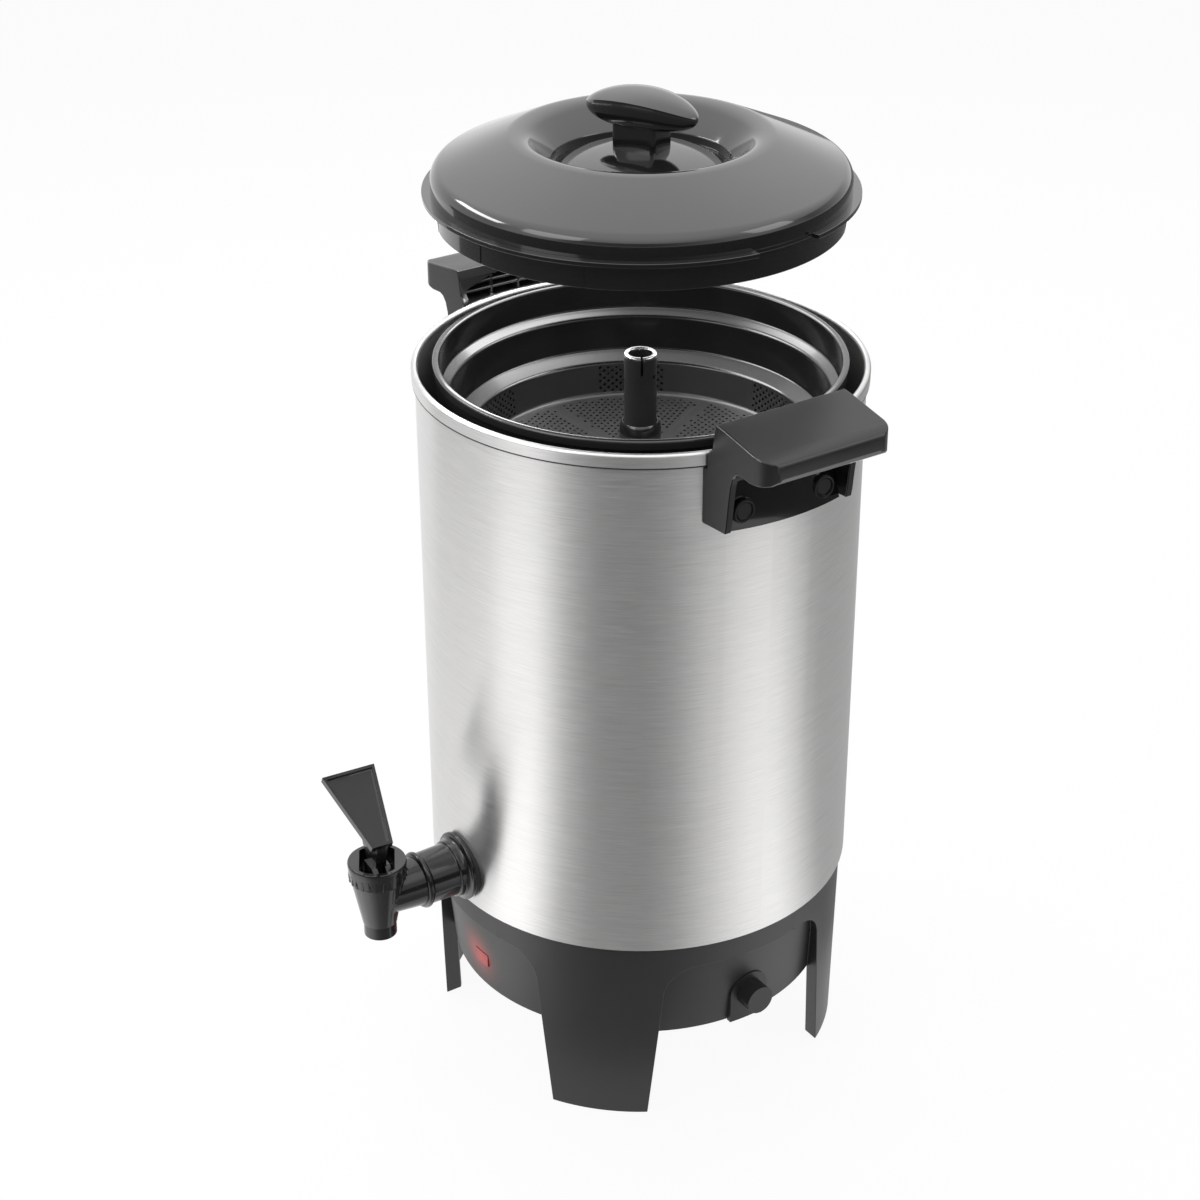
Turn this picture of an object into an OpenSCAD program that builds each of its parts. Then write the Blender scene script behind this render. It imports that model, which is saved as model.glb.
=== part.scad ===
// Electric coffee urn: a steel tank on a moulded base, with a lift-off lid,
// a percolator basket on its tube, two side handles and a lever tap.
// The tap points along -Y, the handles along X, and the origin is on the table under the tank's axis.

/* [Tank] */
// Outside diameter of the steel tank
tank_d = 200; // [180:1:240]
// Thickness of the tank's steel
tank_wall = 1; // [0.8:0.1:1.6]
// Height of the tank wall's lower edge above the table
tank_base_h = 96.8; // [92:0.2:110]
// Height of the rolled rim above the table
rim_h = 346.3; // [320:0.1:400]
// How far the rolled rim stands out of the wall
bead_out = 1.5; // [1:0.1:3]
// Height of the rolled rim
bead_h = 6; // [4:0.5:9]
// Radius of the pump well in the tank floor
well_r = 24.5; // [22:0.5:30]
// Depth of the pump well
well_depth = 17; // [14:0.5:20]

/* [Base] */
// How far the moulded base sits inside the tank's outside
base_inset = 2; // [1.6:0.1:4]
// How far the base tapers in towards the table
base_taper = 1.5; // [0:0.1:4]
// Height of the band above the leg arches
band_h = 12.8; // [10:0.2:20]
// Wall of the moulded base
base_wall = 2.4; // [1.8:0.1:3]
// Depth of the flanges along the legs
leg_flange = 7; // [4:0.5:9]
// Half width of an arch at the table
arch_foot_w = 50; // [40:0.5:54]
// Half width of an arch at its top
arch_top_w = 44.4; // [36:0.2:48]
// Radius of an arch's upper corners
arch_corner_r = 16; // [6:1:24]
// Height of the heater housing's lower edge
housing_low_h = 43.3; // [36:0.1:52]
// How far the heater housing's lower edge sits inside the base's outside
housing_low_in = 7.25; // [5:0.25:10]
// How far the heater housing's top sits inside the base's outside
housing_top_in = 3.4; // [3:0.1:4.6]

/* [Handles] */
// Width of a handle
handle_w = 66; // [50:1:80]
// Reach of a handle from the tank wall
handle_reach = 37.5; // [30:0.5:50]
// Height of a handle
handle_h = 48; // [40:1:60]
// How far a handle rises above the rim
handle_above = 14.7; // [8:0.1:20]
// Wall of a handle
handle_wall = 3.4; // [2.4:0.1:5]
// Distance of a handle screw from the handle's middle
screw_off = 20.7; // [12:0.1:24]

/* [Basket and tube] */
// Gap between the basket's rim and the tank wall
basket_gap = 6.8; // [4:0.1:12]
// How far the basket's rim rises above the tank's rim
basket_above = 2; // [0:0.1:5]
// Width of the basket's rim
basket_rim_w = 3.3; // [2.4:0.1:6]
// Wall of the basket
basket_wall = 1.8; // [1.4:0.1:3]
// Depth of the basket's first ledge below its rim
ledge_a_drop = 16.3; // [13:0.1:20]
// Depth of the basket's second ledge below its rim
ledge_b_drop = 36.3; // [30:0.1:40]
// Depth of the basket's floor below its rim
basket_depth = 52.3; // [46:0.1:70]
// Width of the first ledge
ledge_a_w = 4.9; // [3:0.1:8]
// Width of the second ledge
ledge_b_w = 7.7; // [4:0.1:12]
// Diameter of a hole in the basket
hole_d = 1.7; // [1.2:0.1:2.4]
// Spacing of the basket's holes
hole_pitch = 6.9; // [3.6:0.1:9]
// Outside diameter of the perk tube
tube_d = 14.6; // [12:0.1:18]
// Wall of the perk tube
tube_wall = 1; // [0.6:0.1:2]
// How far the tube's tip rises above the tank's rim
tube_above = 2.4; // [0:0.1:4]

/* [Lid] */
// How far the lid is lifted from its seat, as it is shown
lid_lift = 75.4; // [40:0.1:120]
// How far the lid's flange laps over the basket's rim
flange_lap = 1.8; // [0:0.1:3]
// Thickness of the lid's flange
flange_t = 2; // [1.4:0.1:3]
// How far the dome stands in from the flange
dome_inset = 3.8; // [2:0.1:8]
// Depth of the lid's skirt
skirt_depth = 11.5; // [8:0.5:14]
// Height of the lid's crest above its flange
crest_h = 23.5; // [20:0.5:30]
// Wall of the lid
lid_wall = 2.2; // [1.6:0.1:3]
// Radius of the sunk middle of the lid at its foot
groove_r = 38.5; // [32:0.5:42]
// Half length of the lid's grip
grip_half = 27; // [20:0.5:34]
// Half width of the lid's grip
grip_half_w = 12.5; // [9:0.5:18]
// Turn of the lid's grip about the urn's axis
grip_turn = 115.5; // [0:0.5:180]

/* [Tap] */
// Height of the tap's shank above the tank's lower edge
tap_up = 16.9; // [15:0.1:30]
// Distance of the valve's axis from the tank wall
valve_reach = 43.8; // [38:0.1:60]
// Radius of the tap's wall flange
tap_flange_r = 16.4; // [15.8:0.1:20]
// Radius of the tap's shank
shank_r = 12.6; // [11.5:0.1:15]
// Radius of the bore through the tap
tap_bore_r = 6.8; // [5:0.1:7.4]
// Radius of the bonnet
bonnet_r = 13.6; // [13:0.1:16]
// Radius of the spout's straight end
spout_r = 7.6; // [6.8:0.1:9]
// Depth of the spout's end below the shank's axis
spout_drop = 20.5; // [18:0.1:30]
// Width of the slot in the bonnet
slot_w = 16.2; // [15:0.1:18]
// Turn of the bonnet's slot from the tap's front towards +X
slot_turn = 61; // [50:1:70]
// Turn of the lever from the tap's front towards +X
lever_turn = 85; // [80:1:90]
// Lean of the lever's paddle from upright
paddle_lean = 62.2; // [50:0.1:65]
// Length of the paddle
paddle_l = 41.6; // [34:0.2:50]
// Width of the paddle's end
paddle_w = 25.8; // [18:0.2:32]
// Width of the paddle at its root
paddle_root_w = 10.2; // [8:0.2:14]
// Swing of the lever from shut to open, in degrees
lever_swing = 40; // [30:1:40]
// Lift of the valve stem when the tap is open
stem_lift = 3.5; // [2:0.1:3.5]

/* [Hidden] */
$fn = 96;

// Overrun of every cut, seating gap, running clearance, sliding clearance and finer rounding
cut = 1;
seat = 0.3;
run = 0.05;
slip = 0.3;
fine = 360;

tank_r = tank_d / 2;
tank_in_r = tank_r - tank_wall;
bead_r = tank_r + bead_out;
bead_in = 0.3;

// Tank floor: sheet, upturned lip and the well
floor_t = 1;
floor_up = 2.7;
floor_z = tank_base_h + floor_up;
floor_lip = 6;
well_top_z = floor_z - well_depth;

// Base: deck, web, bosses
base_r = tank_r - base_inset;
housing_low_r = base_r - housing_low_in;
housing_top_r = base_r - housing_top_in;
deck_t = 2.3;
deck_top = floor_z - floor_t - seat;
deck_in_r = 68;
arch_top = tank_base_h - band_h;
web_t = 2.2;
boss_r = 4.5;
boss_ring_r = 80;
boss_count = 3;
boss_turn = 60;
cover_t = 1.6;
cover_up = 1.4;
cover_gap = 0.4;
vent_count = 12;
vent_l = 16;
vent_w = 3;
vent_ring_r = 58;
screw_r = 1.6;
screw_head_r = 3.2;
screw_head_t = 2;
screw_hole_l = 20;
cover_screw_l = 12;

// Electrical pieces under the tank
plate_r = 62;
plate_t = 3;
plate_z = floor_z - floor_t - seat - plate_t;
element_ring_r = 46;
element_r = 4;
element_z = plate_z - element_r - seat / 2;
element_gap_a = 50;
lead_l = 14;
lead_r = 2.2;
thermostat_r = 9;
thermostat_h = 9;
thermostat_x = 14;
fuse_r = 3;
fuse_l = 16;
block_size = [26, 18, 14];
block_y = 40;

// Indicator light
light_w = 10;
light_h = 6.3;
light_t = 3.2;
light_turn = 2.4;
light_up = 16.6;
light_z = housing_low_h + light_up;
light_proud = 0.5;
light_flange = 1.6;
light_tuck = 1;
lamp_r = 2.6;
lamp_l = 9;

// Cord gland
gland_w = 21;
gland_up = 14.2;
gland_z = housing_low_h + gland_up;
gland_proud = 1.6;
gland_nose_r = 7;
gland_nose_l = 10;
gland_bore_r = 3.6;
gland_face_t = 1.6;
gland_back_t = 2;
gland_back_out = 2.4;

// Handle: outline points as shares of its reach and its height
handle_low = rim_h + handle_above - handle_h;
handle_shares = [
    [-0.22, 0], [0, 0.015], [0.28, 0.03], [0.3, 0.12], [0.325, 0.3], [0.36, 0.5], [0.4, 0.59],
    [0.46, 0.64], [0.53, 0.657], [0.7, 0.645], [0.85, 0.657], [0.95, 0.674], [0.992, 0.702],
    [1, 0.735], [0.993, 0.78], [0.965, 0.83], [0.9, 0.872], [0.78, 0.905], [0.6, 0.942],
    [0.353, 0.977], [0.2, 0.99], [0.067, 1], [0.04, 0.9], [0.01, 0.76], [-0.22, 0.6]];
pocket_shares = [
    [-0.22, 0.66], [0.8, 0.72], [0.88, 0.75], [0.88, 0.79], [0.75, 0.83], [0.58, 0.87],
    [0.35, 0.9], [0.2, 0.915], [-0.22, 0.93]];
handle_corner = 9;
handle_depth = 16;
bead_clear = 1;
recess_back = 5.5;
recess_r = tank_r + recess_back;
recess_top_share = 0.55;
pocket_arch_r = 70;
pocket_arch_share = 0.925;
rib_t = 1.4;
rib_shares = [0.74, 0.82];
rib_count = 2;
screw_up_share = 0.16;
boss_out = 2;
boss_pad_r = 5.6;
boss_face_u = recess_r + boss_out;
head_sink = 0.5;
handle_screw_r = 2;
handle_head_r = 3.6;
handle_head_t = 2.2;
handle_nut_r = 4;
handle_nut_t = 3;

// Basket
basket_r = tank_in_r - basket_gap;
basket_in_r = basket_r - basket_rim_w;
basket_top = rim_h + basket_above;
basket_rim_t = 4;
basket_floor_z = basket_top - basket_depth;
basket_floor_t = 2;
ledge_a_z = basket_top - ledge_a_drop;
ledge_b_z = basket_top - ledge_b_drop;
tier_b_r = basket_in_r - ledge_a_w;
tier_draft = 0.8;
tier_c_r = tier_b_r - tier_draft - ledge_b_w;
basket_floor_r = tier_c_r - 2 * tier_draft;
tube_r = tube_d / 2;
hub_gap = 0.5;
hub_in_r = tube_r + hub_gap;
hub_r = hub_in_r + basket_wall;
hub_h = 25;
hub_low = 1.5;
floor_sector_count = 6;
floor_rib_w = 8;
floor_edge = 7;
floor_hub_edge = 7;
wall_hole_rows = 2;
wall_holes = 6;
wall_hole_turn = 5;
wall_hole_pitch = 4.4;

// Perk tube and pump foot
tube_top = rim_h + tube_above;
tube_bore_r = tube_r - tube_wall;
tip_h = 3;
tip_out = 0.1;
tip_slit_w = 1;
tip_slit_h = 9;
vent_hole_r = 0.9;
vent_hole_drop = 10;
vent_hole_turn = 111;
stop_h = 3;
stop_out = 2;
stop_top = basket_floor_z - basket_floor_t - hub_low - seat;
foot_gap = 1.5;
foot_r = well_r - foot_gap;
foot_wall = 1;
foot_h = 11;
foot_low = well_top_z + seat;
foot_skirt_h = 2;
foot_port_r = 2.5;
foot_ports = 4;
bell_room = 2;
bell_neck_out = 3;
bell_collar = 1;
washer_t = 1;
washer_r = 16;
washer_gap = 0.5;
washer_travel = 3;
stub_up = 0.9;
stub_low = foot_low + stub_up;
stub_flange_out = 2.2;
stub_flange_r = tube_r + stub_flange_out;
stub_flange_t = 1;
washer_z = stub_low + stub_flange_t + slip;

// Lid: heights are taken from the underside of its flange
lid_z = basket_top + seat + lid_lift;
flange_r = basket_r + flange_lap;
skirt_gap = 0.5;
skirt_r = basket_in_r - skirt_gap;
skirt_wall = 2;
skirt_step = 1;
dome_r = flange_r - dome_inset;
dome_side_h = 5;
shoulder_r = 6;
shoulder_a = 67;
crest_r = 10;
crest_share = 0.599;
crest_end_a = 134;
step_r = 1;
bowl_drop = 11.2;
bowl_h = crest_h - bowl_drop;
bowl_in_share = 0.67;
groove_drop = 3.3;
groove_h = flange_t + bowl_h - step_r - groove_drop;
cone_top_r = 14;
cone_top_h = 18.6;
cone_foot_gap = 1;
cone_arc_r = 54;
cone_foot = [groove_r - cone_foot_gap, groove_h];
cone_chord = [cone_top_r, cone_top_h] - cone_foot;
cone_hub = cone_foot + cone_chord / 2 + sqrt(pow(cone_arc_r / norm(cone_chord), 2) - 1 / 4)
    * [-cone_chord[1], cone_chord[0]];
cone_foot_a = atan2(cone_foot[1] - cone_hub[1], cone_foot[0] - cone_hub[0]);
cone_top_a = atan2(cone_top_h - cone_hub[1], cone_top_r - cone_hub[0]);
notch_turn = 96;
notch_a = 20;
notch_depth = 4.4;
mark_w = 0.8;
mark_deep = 0.5;
mark_turns = [-20, 8, 41, 160, 188, 221];
snap_r = 0.6;

// Lid grip and its post
post_l = 21;
post_w = 16;
post_corner = 2.5;
grip_low_h = 28;
grip_tip_h = 34.5;
grip_top_h = 44.8;
grip_tip_r = 3.2;
grip_tip_plan_r = 5;
grip_round_r = 13.2;
knob_screw_r = 2;
knob_screw_l = 16;
knob_head_r = 4;
knob_head_t = 2.4;
knob_pilot_gap = 0.05;

// Tap: distances along the shank from the tank's axis
tap_z = tank_base_h + tap_up;
valve_u = tank_r + valve_reach;
gasket_t = 1;
gasket_in = 0.7;
gasket_r = tap_flange_r - gasket_in;
flange_u = tank_r + gasket_t;
tap_flange_t = 1.8;
flange_bevel = 0.5;
hub_out = 0.9;
hub_l = 1.6;
flare_r = tap_flange_r - flange_bevel - shank_r - hub_out;
shank_reach = 21;
shank_end_u = tank_r + shank_reach;
tap_ring_w = 3.2;
tap_ring_out = 0.9;
tap_ring_r = shank_r + tap_ring_out;
neck_r = 11.7;
neck_end_r = 10;
neck_top_gap = 0.6;
spigot_r = 9.6;
spigot_l = 6;
tail_r = 10.8;
tail_l = 15;
wall_hole_r = tail_r + slip;
tap_washer_t = 2;
tap_nut_r = 14.2;
tap_washer_r = 13.8;
tap_nut_t = 6;
inner_face_u = tank_in_r;

// Valve body, from the spout's end up
spout_z = tap_z - spout_drop;
spout_l = 6.6;
body_up = 9.9;
body_top_z = tap_z + body_up;
body_top_r = 12.5;
body_low_r = 8;
body_wall = 1.9;
seat_up = 10.8;
seat_z = spout_z + seat_up;
spout_bore_r = 5.2;
counter_r = 10.4;
counter_h = 4.6;

// Bonnet
bonnet_h = 9.3;
bonnet_wall = 2.3;
bonnet_top_t = 1.9;
bonnet_floor_t = 1.8;
bonnet_draft = 0.6;
bonnet_floor_up = 0.4;
bonnet_floor_z = body_top_z + bonnet_floor_up;
bonnet_edge = 0.4;
bonnet_edge_h = 1;
bonnet_top_z = body_top_z + bonnet_h;
bonnet_spigot = 1.4;
bonnet_spigot_wall = 1.6;
slot_over = 0.2;
slot_end_r = bonnet_r - bonnet_wall + slot_over;
grip_ribs = 24;
grip_rib_out = 0.35;
grip_rib_w = 1;
grip_rib_h = 4.2;

// Stem, seat cup and spring
stem_r = 3;
stem_up = 2;
stem_low = seat_z + stem_up;
pin_h = 5.2;
pin_z = bonnet_floor_z + pin_h;
tang_t = 3.2;
tang_w = 5.6;
tang_top = 2.8;
cup_low = seat_z + seat;
cup_r = 6.3;
cup_top_r = 4.6;
cup_h = 8;
cup_wall = 1.4;
spring_r = 5;
spring_wire = 0.45;
spring_turns = 4;
spring_steps = 14;
spring_sides = 6;
spring_low = cup_low + cup_h + spring_wire + seat / 2;
spring_high = bonnet_floor_z - bonnet_floor_t - spring_wire - seat / 2;

// Lever: its cam lifts the pin evenly with the swing
pin_r = 1.25;
foot_w = 9;
cheek_gap = 0.3;
cam_steps = 12;
cam_gap = 0.2;
cam_floor = pin_h - cam_gap;
stem_end = pin_z - cam_floor - stem_lift - seat;
heel_out = 1;
notch_over = 2;
cam_rate = stem_lift / (lever_swing * PI / 180);
heel = 4.2;
paddle_root_x = 8;
paddle_root_h = 16.2;
paddle_t = 3.6;
paddle_rim = 1.6;
paddle_recess = 1;
paddle_taper_share = 0.6;
web_t_lever = 5.2;
web_back = 9.6;

// Points along an arc, from angle a to angle b
function arc(cx, cy, r, a, b, n) =
    [for (i = [0:n]) [cx + r * cos(a + (b - a) * i / n), cy + r * sin(a + (b - a) * i / n)]];

function reach_points(shares, w, h) = [for (s = shares) [s[0] * w, s[1] * h]];

// Radius of the heater housing at a height
function housing_at(z) = housing_low_r
    + (housing_top_r - housing_low_r) * (z - housing_low_h) / (arch_top - housing_low_h);

// Solid that the heater housing's outside bounds, grown by g
module housing_core(g) {
    low = housing_low_h - cut;
    rotate_extrude() polygon([[0, low], [housing_at(low) + g, low],
        [housing_at(arch_top) + g, arch_top], [0, arch_top]]);
}

// Lid section from its rim to the axis, moved in by t from the outer face
function lid_path(t) = concat(
    [[dome_r - t, flange_t]],
    arc(dome_r - shoulder_r, flange_t + dome_side_h, shoulder_r - t, 0, shoulder_a, 6),
    arc(crest_share * dome_r, crest_h - crest_r + flange_t, crest_r - t, shoulder_a, crest_end_a, 8),
    t == 0
        ? arc(groove_r + step_r, flange_t + bowl_h - step_r, step_r, crest_end_a, 180, 4)
        : [[groove_r + t, flange_t + bowl_h - bowl_in_share * t]],
    [[groove_r + t, groove_h - t]],
    arc(cone_hub[0], cone_hub[1], cone_arc_r - t, cone_foot_a, cone_top_a, 8),
    [[0, cone_under(t)]]);

// Height of the lid's middle, moved in by t from the outer face
function cone_under(t) = cone_hub[1] + (cone_arc_r - t) * sin(cone_top_a);

module ring(r_out, r_in, h) {
    difference() {
        cylinder(r = r_out, h = h);
        translate([0, 0, -cut]) cylinder(r = r_in, h = h + 2 * cut);
    }
}

// Puts a shape that was drawn along +Z along the tap's shank
module along_tap() {
    translate([0, 0, tap_z]) rotate([90, 0, 0]) children();
}

module at_valve() {
    translate([0, -valve_u, 0]) children();
}

// Turns from +X to a heading counted from -Y towards +X
module heading(a) {
    rotate([0, 0, a - 90]) children();
}

module tank_shell() {
    color("silver") difference() {
        rotate_extrude() union() {
            translate([tank_in_r, tank_base_h]) square([tank_wall, rim_h - tank_base_h - bead_out]);
            translate([tank_in_r + bead_in, rim_h - bead_h])
                square([tank_wall + bead_out - bead_in, bead_h - bead_out]);
            translate([bead_r - bead_out, rim_h - bead_out]) circle(r = bead_out);
        }
        along_tap() translate([0, 0, tank_in_r - cut])
            cylinder(r = wall_hole_r, h = tank_wall + 2 * cut + bead_out);
        for (side = [0, 180], s = [-1, 1])
            rotate([0, 0, side]) translate([0, s * screw_off, handle_low + screw_up_share * handle_h])
                rotate([0, 90, 0]) cylinder(r = handle_screw_r + run, h = bead_r);
    }
}

module tank_floor() {
    color("lightgray") difference() {
        rotate_extrude() polygon([
            [tank_in_r - run, floor_z - floor_t], [tank_in_r - run, floor_z + floor_lip],
            [tank_in_r - run - floor_t, floor_z + floor_lip], [tank_in_r - run - floor_t, floor_z],
            [well_r, floor_z], [well_r, well_top_z], [0, well_top_z], [0, well_top_z - floor_t],
            [well_r + floor_t, well_top_z - floor_t], [well_r + floor_t, floor_z - floor_t]]);
        along_tap() translate([0, 0, tank_in_r - 2 * floor_lip])
            cylinder(r = tap_z - floor_z - run, h = 3 * floor_lip);
    }
}

// Outline of a leg arch, grown by g on its sides and top
module arch_outline(g) {
    side = arch_corner_r + g;
    hub = arch_top_w - arch_corner_r;
    union() {
        polygon([[-arch_foot_w - g, -cut], [arch_foot_w + g, -cut],
            [arch_top_w + g, arch_top - arch_corner_r], [-arch_top_w - g, arch_top - arch_corner_r]]);
        translate([-hub, 0]) square([2 * hub, arch_top + g]);
        for (s = [-1, 1]) translate([s * hub, arch_top - arch_corner_r]) circle(r = side);
    }
}

module arch_cut(g) {
    for (a = [0:90:270]) rotate([0, 0, a]) rotate([90, 0, 90])
        linear_extrude(height = tank_r) arch_outline(g);
}

// Solid of the base's outside, moved in by t
module base_form(t) {
    rotate_extrude() polygon([[0, 0], [base_r - base_taper - t, 0],
        [base_r - t, arch_top], [base_r - t, tank_base_h + seat],
        [tank_in_r - run - t, tank_base_h + seat], [tank_in_r - run - t, deck_top], [0, deck_top]]);
}

module base() {
    color("dimgray") difference() {
        union() {
            difference() {
                base_form(0);
                translate([0, 0, -cut]) cylinder(r = deck_in_r, h = deck_top + 2 * cut);
                intersection() {
                    base_form(base_wall);
                    translate([0, 0, -cut]) cylinder(r = tank_r, h = deck_top - deck_t + cut);
                }
                arch_cut(0);
            }
            intersection() {
                difference() {
                    arch_cut(base_wall);
                    arch_cut(0);
                }
                difference() {
                    base_form(run);
                    base_form(leg_flange);
                }
                cylinder(r = tank_r, h = arch_top + base_wall);
            }
            rotate_extrude() polygon([
                [housing_low_r, housing_low_h], [housing_at(arch_top), arch_top],
                [base_r - base_wall / 2, arch_top], [base_r - base_wall / 2, arch_top + web_t],
                [housing_top_r - base_wall, arch_top + web_t],
                [housing_low_r - base_wall, housing_low_h]]);
            for (i = [0:boss_count - 1]) rotate([0, 0, i * 360 / boss_count + boss_turn])
                translate([boss_ring_r, 0, housing_low_h + cover_up + cover_t])
                    cylinder(r = boss_r, h = deck_top - housing_low_h - cover_up - cover_t - deck_t / 2);
        }
        for (i = [0:boss_count - 1]) rotate([0, 0, i * 360 / boss_count + boss_turn])
            translate([boss_ring_r, 0, housing_low_h]) cylinder(r = screw_r + run, h = screw_hole_l);
        heading(light_turn) translate([housing_low_r - base_wall - cut, 0, light_z])
            translate([0, -light_w / 2 - run, -light_h / 2 - run])
                cube([base_r, light_w + 2 * run, light_h + 2 * run]);
        gland_plate(run, housing_low_r - 2 * base_wall, 2 * base_wall);
    }
}

// Arched plate of the gland, from radius u outwards
module gland_plate(g, u, len) {
    translate([u, 0, gland_z]) rotate([0, 90, 0]) {
        cylinder(r = gland_w / 2 - gland_proud + g, h = len + 2 * gland_proud);
    }
    translate([u, -gland_w / 2 + gland_proud - g, housing_low_h - cut])
        cube([len + 2 * gland_proud, gland_w - 2 * gland_proud + 2 * g, gland_z - housing_low_h + cut]);
}

module cord_gland() {
    pad_u = housing_at(gland_z);
    color("dimgray") difference() {
        union() {
            intersection() {
                gland_plate(-run, housing_low_r - base_wall - gland_back_t, 2 * base_wall + gland_back_t);
                translate([0, 0, housing_low_h]) cylinder(r = pad_u + gland_proud, h = gland_w * 2);
            }
            intersection() {
                translate([pad_u - gland_proud, 0, 0]) {
                    translate([0, 0, gland_z]) rotate([0, 90, 0])
                        cylinder(r = gland_w / 2, h = 3 * gland_proud);
                    translate([0, -gland_w / 2, housing_low_h])
                        cube([3 * gland_proud, gland_w, gland_z - housing_low_h]);
                }
                difference() {
                    cylinder(r = pad_u + gland_proud, h = base_r);
                    housing_core(run);
                }
            }
            translate([pad_u - gland_proud, 0, gland_z]) rotate([0, 90, 0])
                cylinder(r = gland_nose_r, h = gland_nose_l + gland_proud);
        }
        translate([0, 0, gland_z]) rotate([0, 90, 0])
            cylinder(r = gland_bore_r, h = pad_u + gland_nose_l - gland_face_t);
    }
}

module bottom_cover() {
    r = housing_low_r - base_wall - cover_gap;
    color("gray") difference() {
        translate([0, 0, housing_low_h + cover_up]) cylinder(r = r, h = cover_t);
        for (i = [0:boss_count - 1]) rotate([0, 0, i * 360 / boss_count + boss_turn])
            translate([boss_ring_r, 0, 0]) cylinder(r = screw_r + run, h = tank_base_h);
        for (i = [0:vent_count - 1]) rotate([0, 0, i * 360 / vent_count])
            translate([vent_ring_r - vent_l / 2, -vent_w / 2, 0]) cube([vent_l, vent_w, tank_base_h]);
        translate([r - gland_w / 2, -gland_w / 2, 0]) cube([gland_w, gland_w, tank_base_h]);
    }
}

module cover_screws() {
    color("silver") for (i = [0:boss_count - 1]) rotate([0, 0, i * 360 / boss_count + boss_turn])
        translate([boss_ring_r, 0, housing_low_h + cover_up]) {
            cylinder(r = screw_r, h = cover_screw_l);
            translate([0, 0, -screw_head_t]) cylinder(r = screw_head_r, h = screw_head_t);
        }
}

module heater_plate() {
    color("lightgray") translate([0, 0, plate_z])
        ring(plate_r, well_r + floor_t + seat, plate_t);
}

module heating_element() {
    color("gray") translate([0, 0, element_z]) {
        rotate([0, 0, 90 + element_gap_a / 2]) rotate_extrude(angle = 360 - element_gap_a)
            translate([element_ring_r, 0]) circle(r = element_r);
        for (s = [-1, 1]) rotate([0, 0, 90 + s * element_gap_a / 2])
            translate([element_ring_r, 0, -lead_l]) cylinder(r = lead_r, h = lead_l);
    }
}

module thermostat() {
    color("tan") translate([thermostat_x, 0, well_top_z - floor_t - seat - thermostat_h]) {
        cylinder(r = thermostat_r, h = thermostat_h);
        for (s = [-1, 1]) translate([s * thermostat_r / 2, 0, -thermostat_h / 2])
            cylinder(r = lead_r / 2, h = thermostat_h);
    }
}

module thermal_fuse() {
    color("white") translate([-thermostat_x, 0, well_top_z - floor_t - seat - fuse_r])
        rotate([90, 0, 0]) {
            cylinder(r = fuse_r, h = fuse_l, center = true);
            cylinder(r = fuse_r / 3, h = 2 * fuse_l, center = true);
        }
}

module terminal_block() {
    color("ivory") translate([-block_size[0] / 2, block_y,
        housing_low_h + cover_up + cover_t + seat / 2]) difference() {
            cube(block_size);
            for (i = [1:3]) translate([i * block_size[0] / 4, block_size[1] / 2, block_size[2] / 2])
                cylinder(r = screw_r + seat, h = block_size[2]);
        }
}

module light_lens() {
    r = housing_at(light_z);
    color("red") heading(light_turn) intersection() {
        translate([r - base_wall - light_flange - light_tuck, 0, light_z]) union() {
            translate([0, -light_w / 2, -light_h / 2]) cube([light_t * 3, light_w, light_h]);
            translate([0, -light_w / 2 - light_flange, -light_h / 2 - light_flange])
                cube([light_flange, light_w + 2 * light_flange, light_h + 2 * light_flange]);
        }
        cylinder(r = r + light_proud, h = tank_base_h);
    }
}

module light_lamp() {
    r = housing_at(light_z) - base_wall - light_flange - light_tuck - seat;
    color("orange") heading(light_turn) translate([r - lamp_r, 0, light_z])
        rotate([90, 0, 0]) cylinder(r = lamp_r, h = lamp_l, center = true);
}

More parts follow.
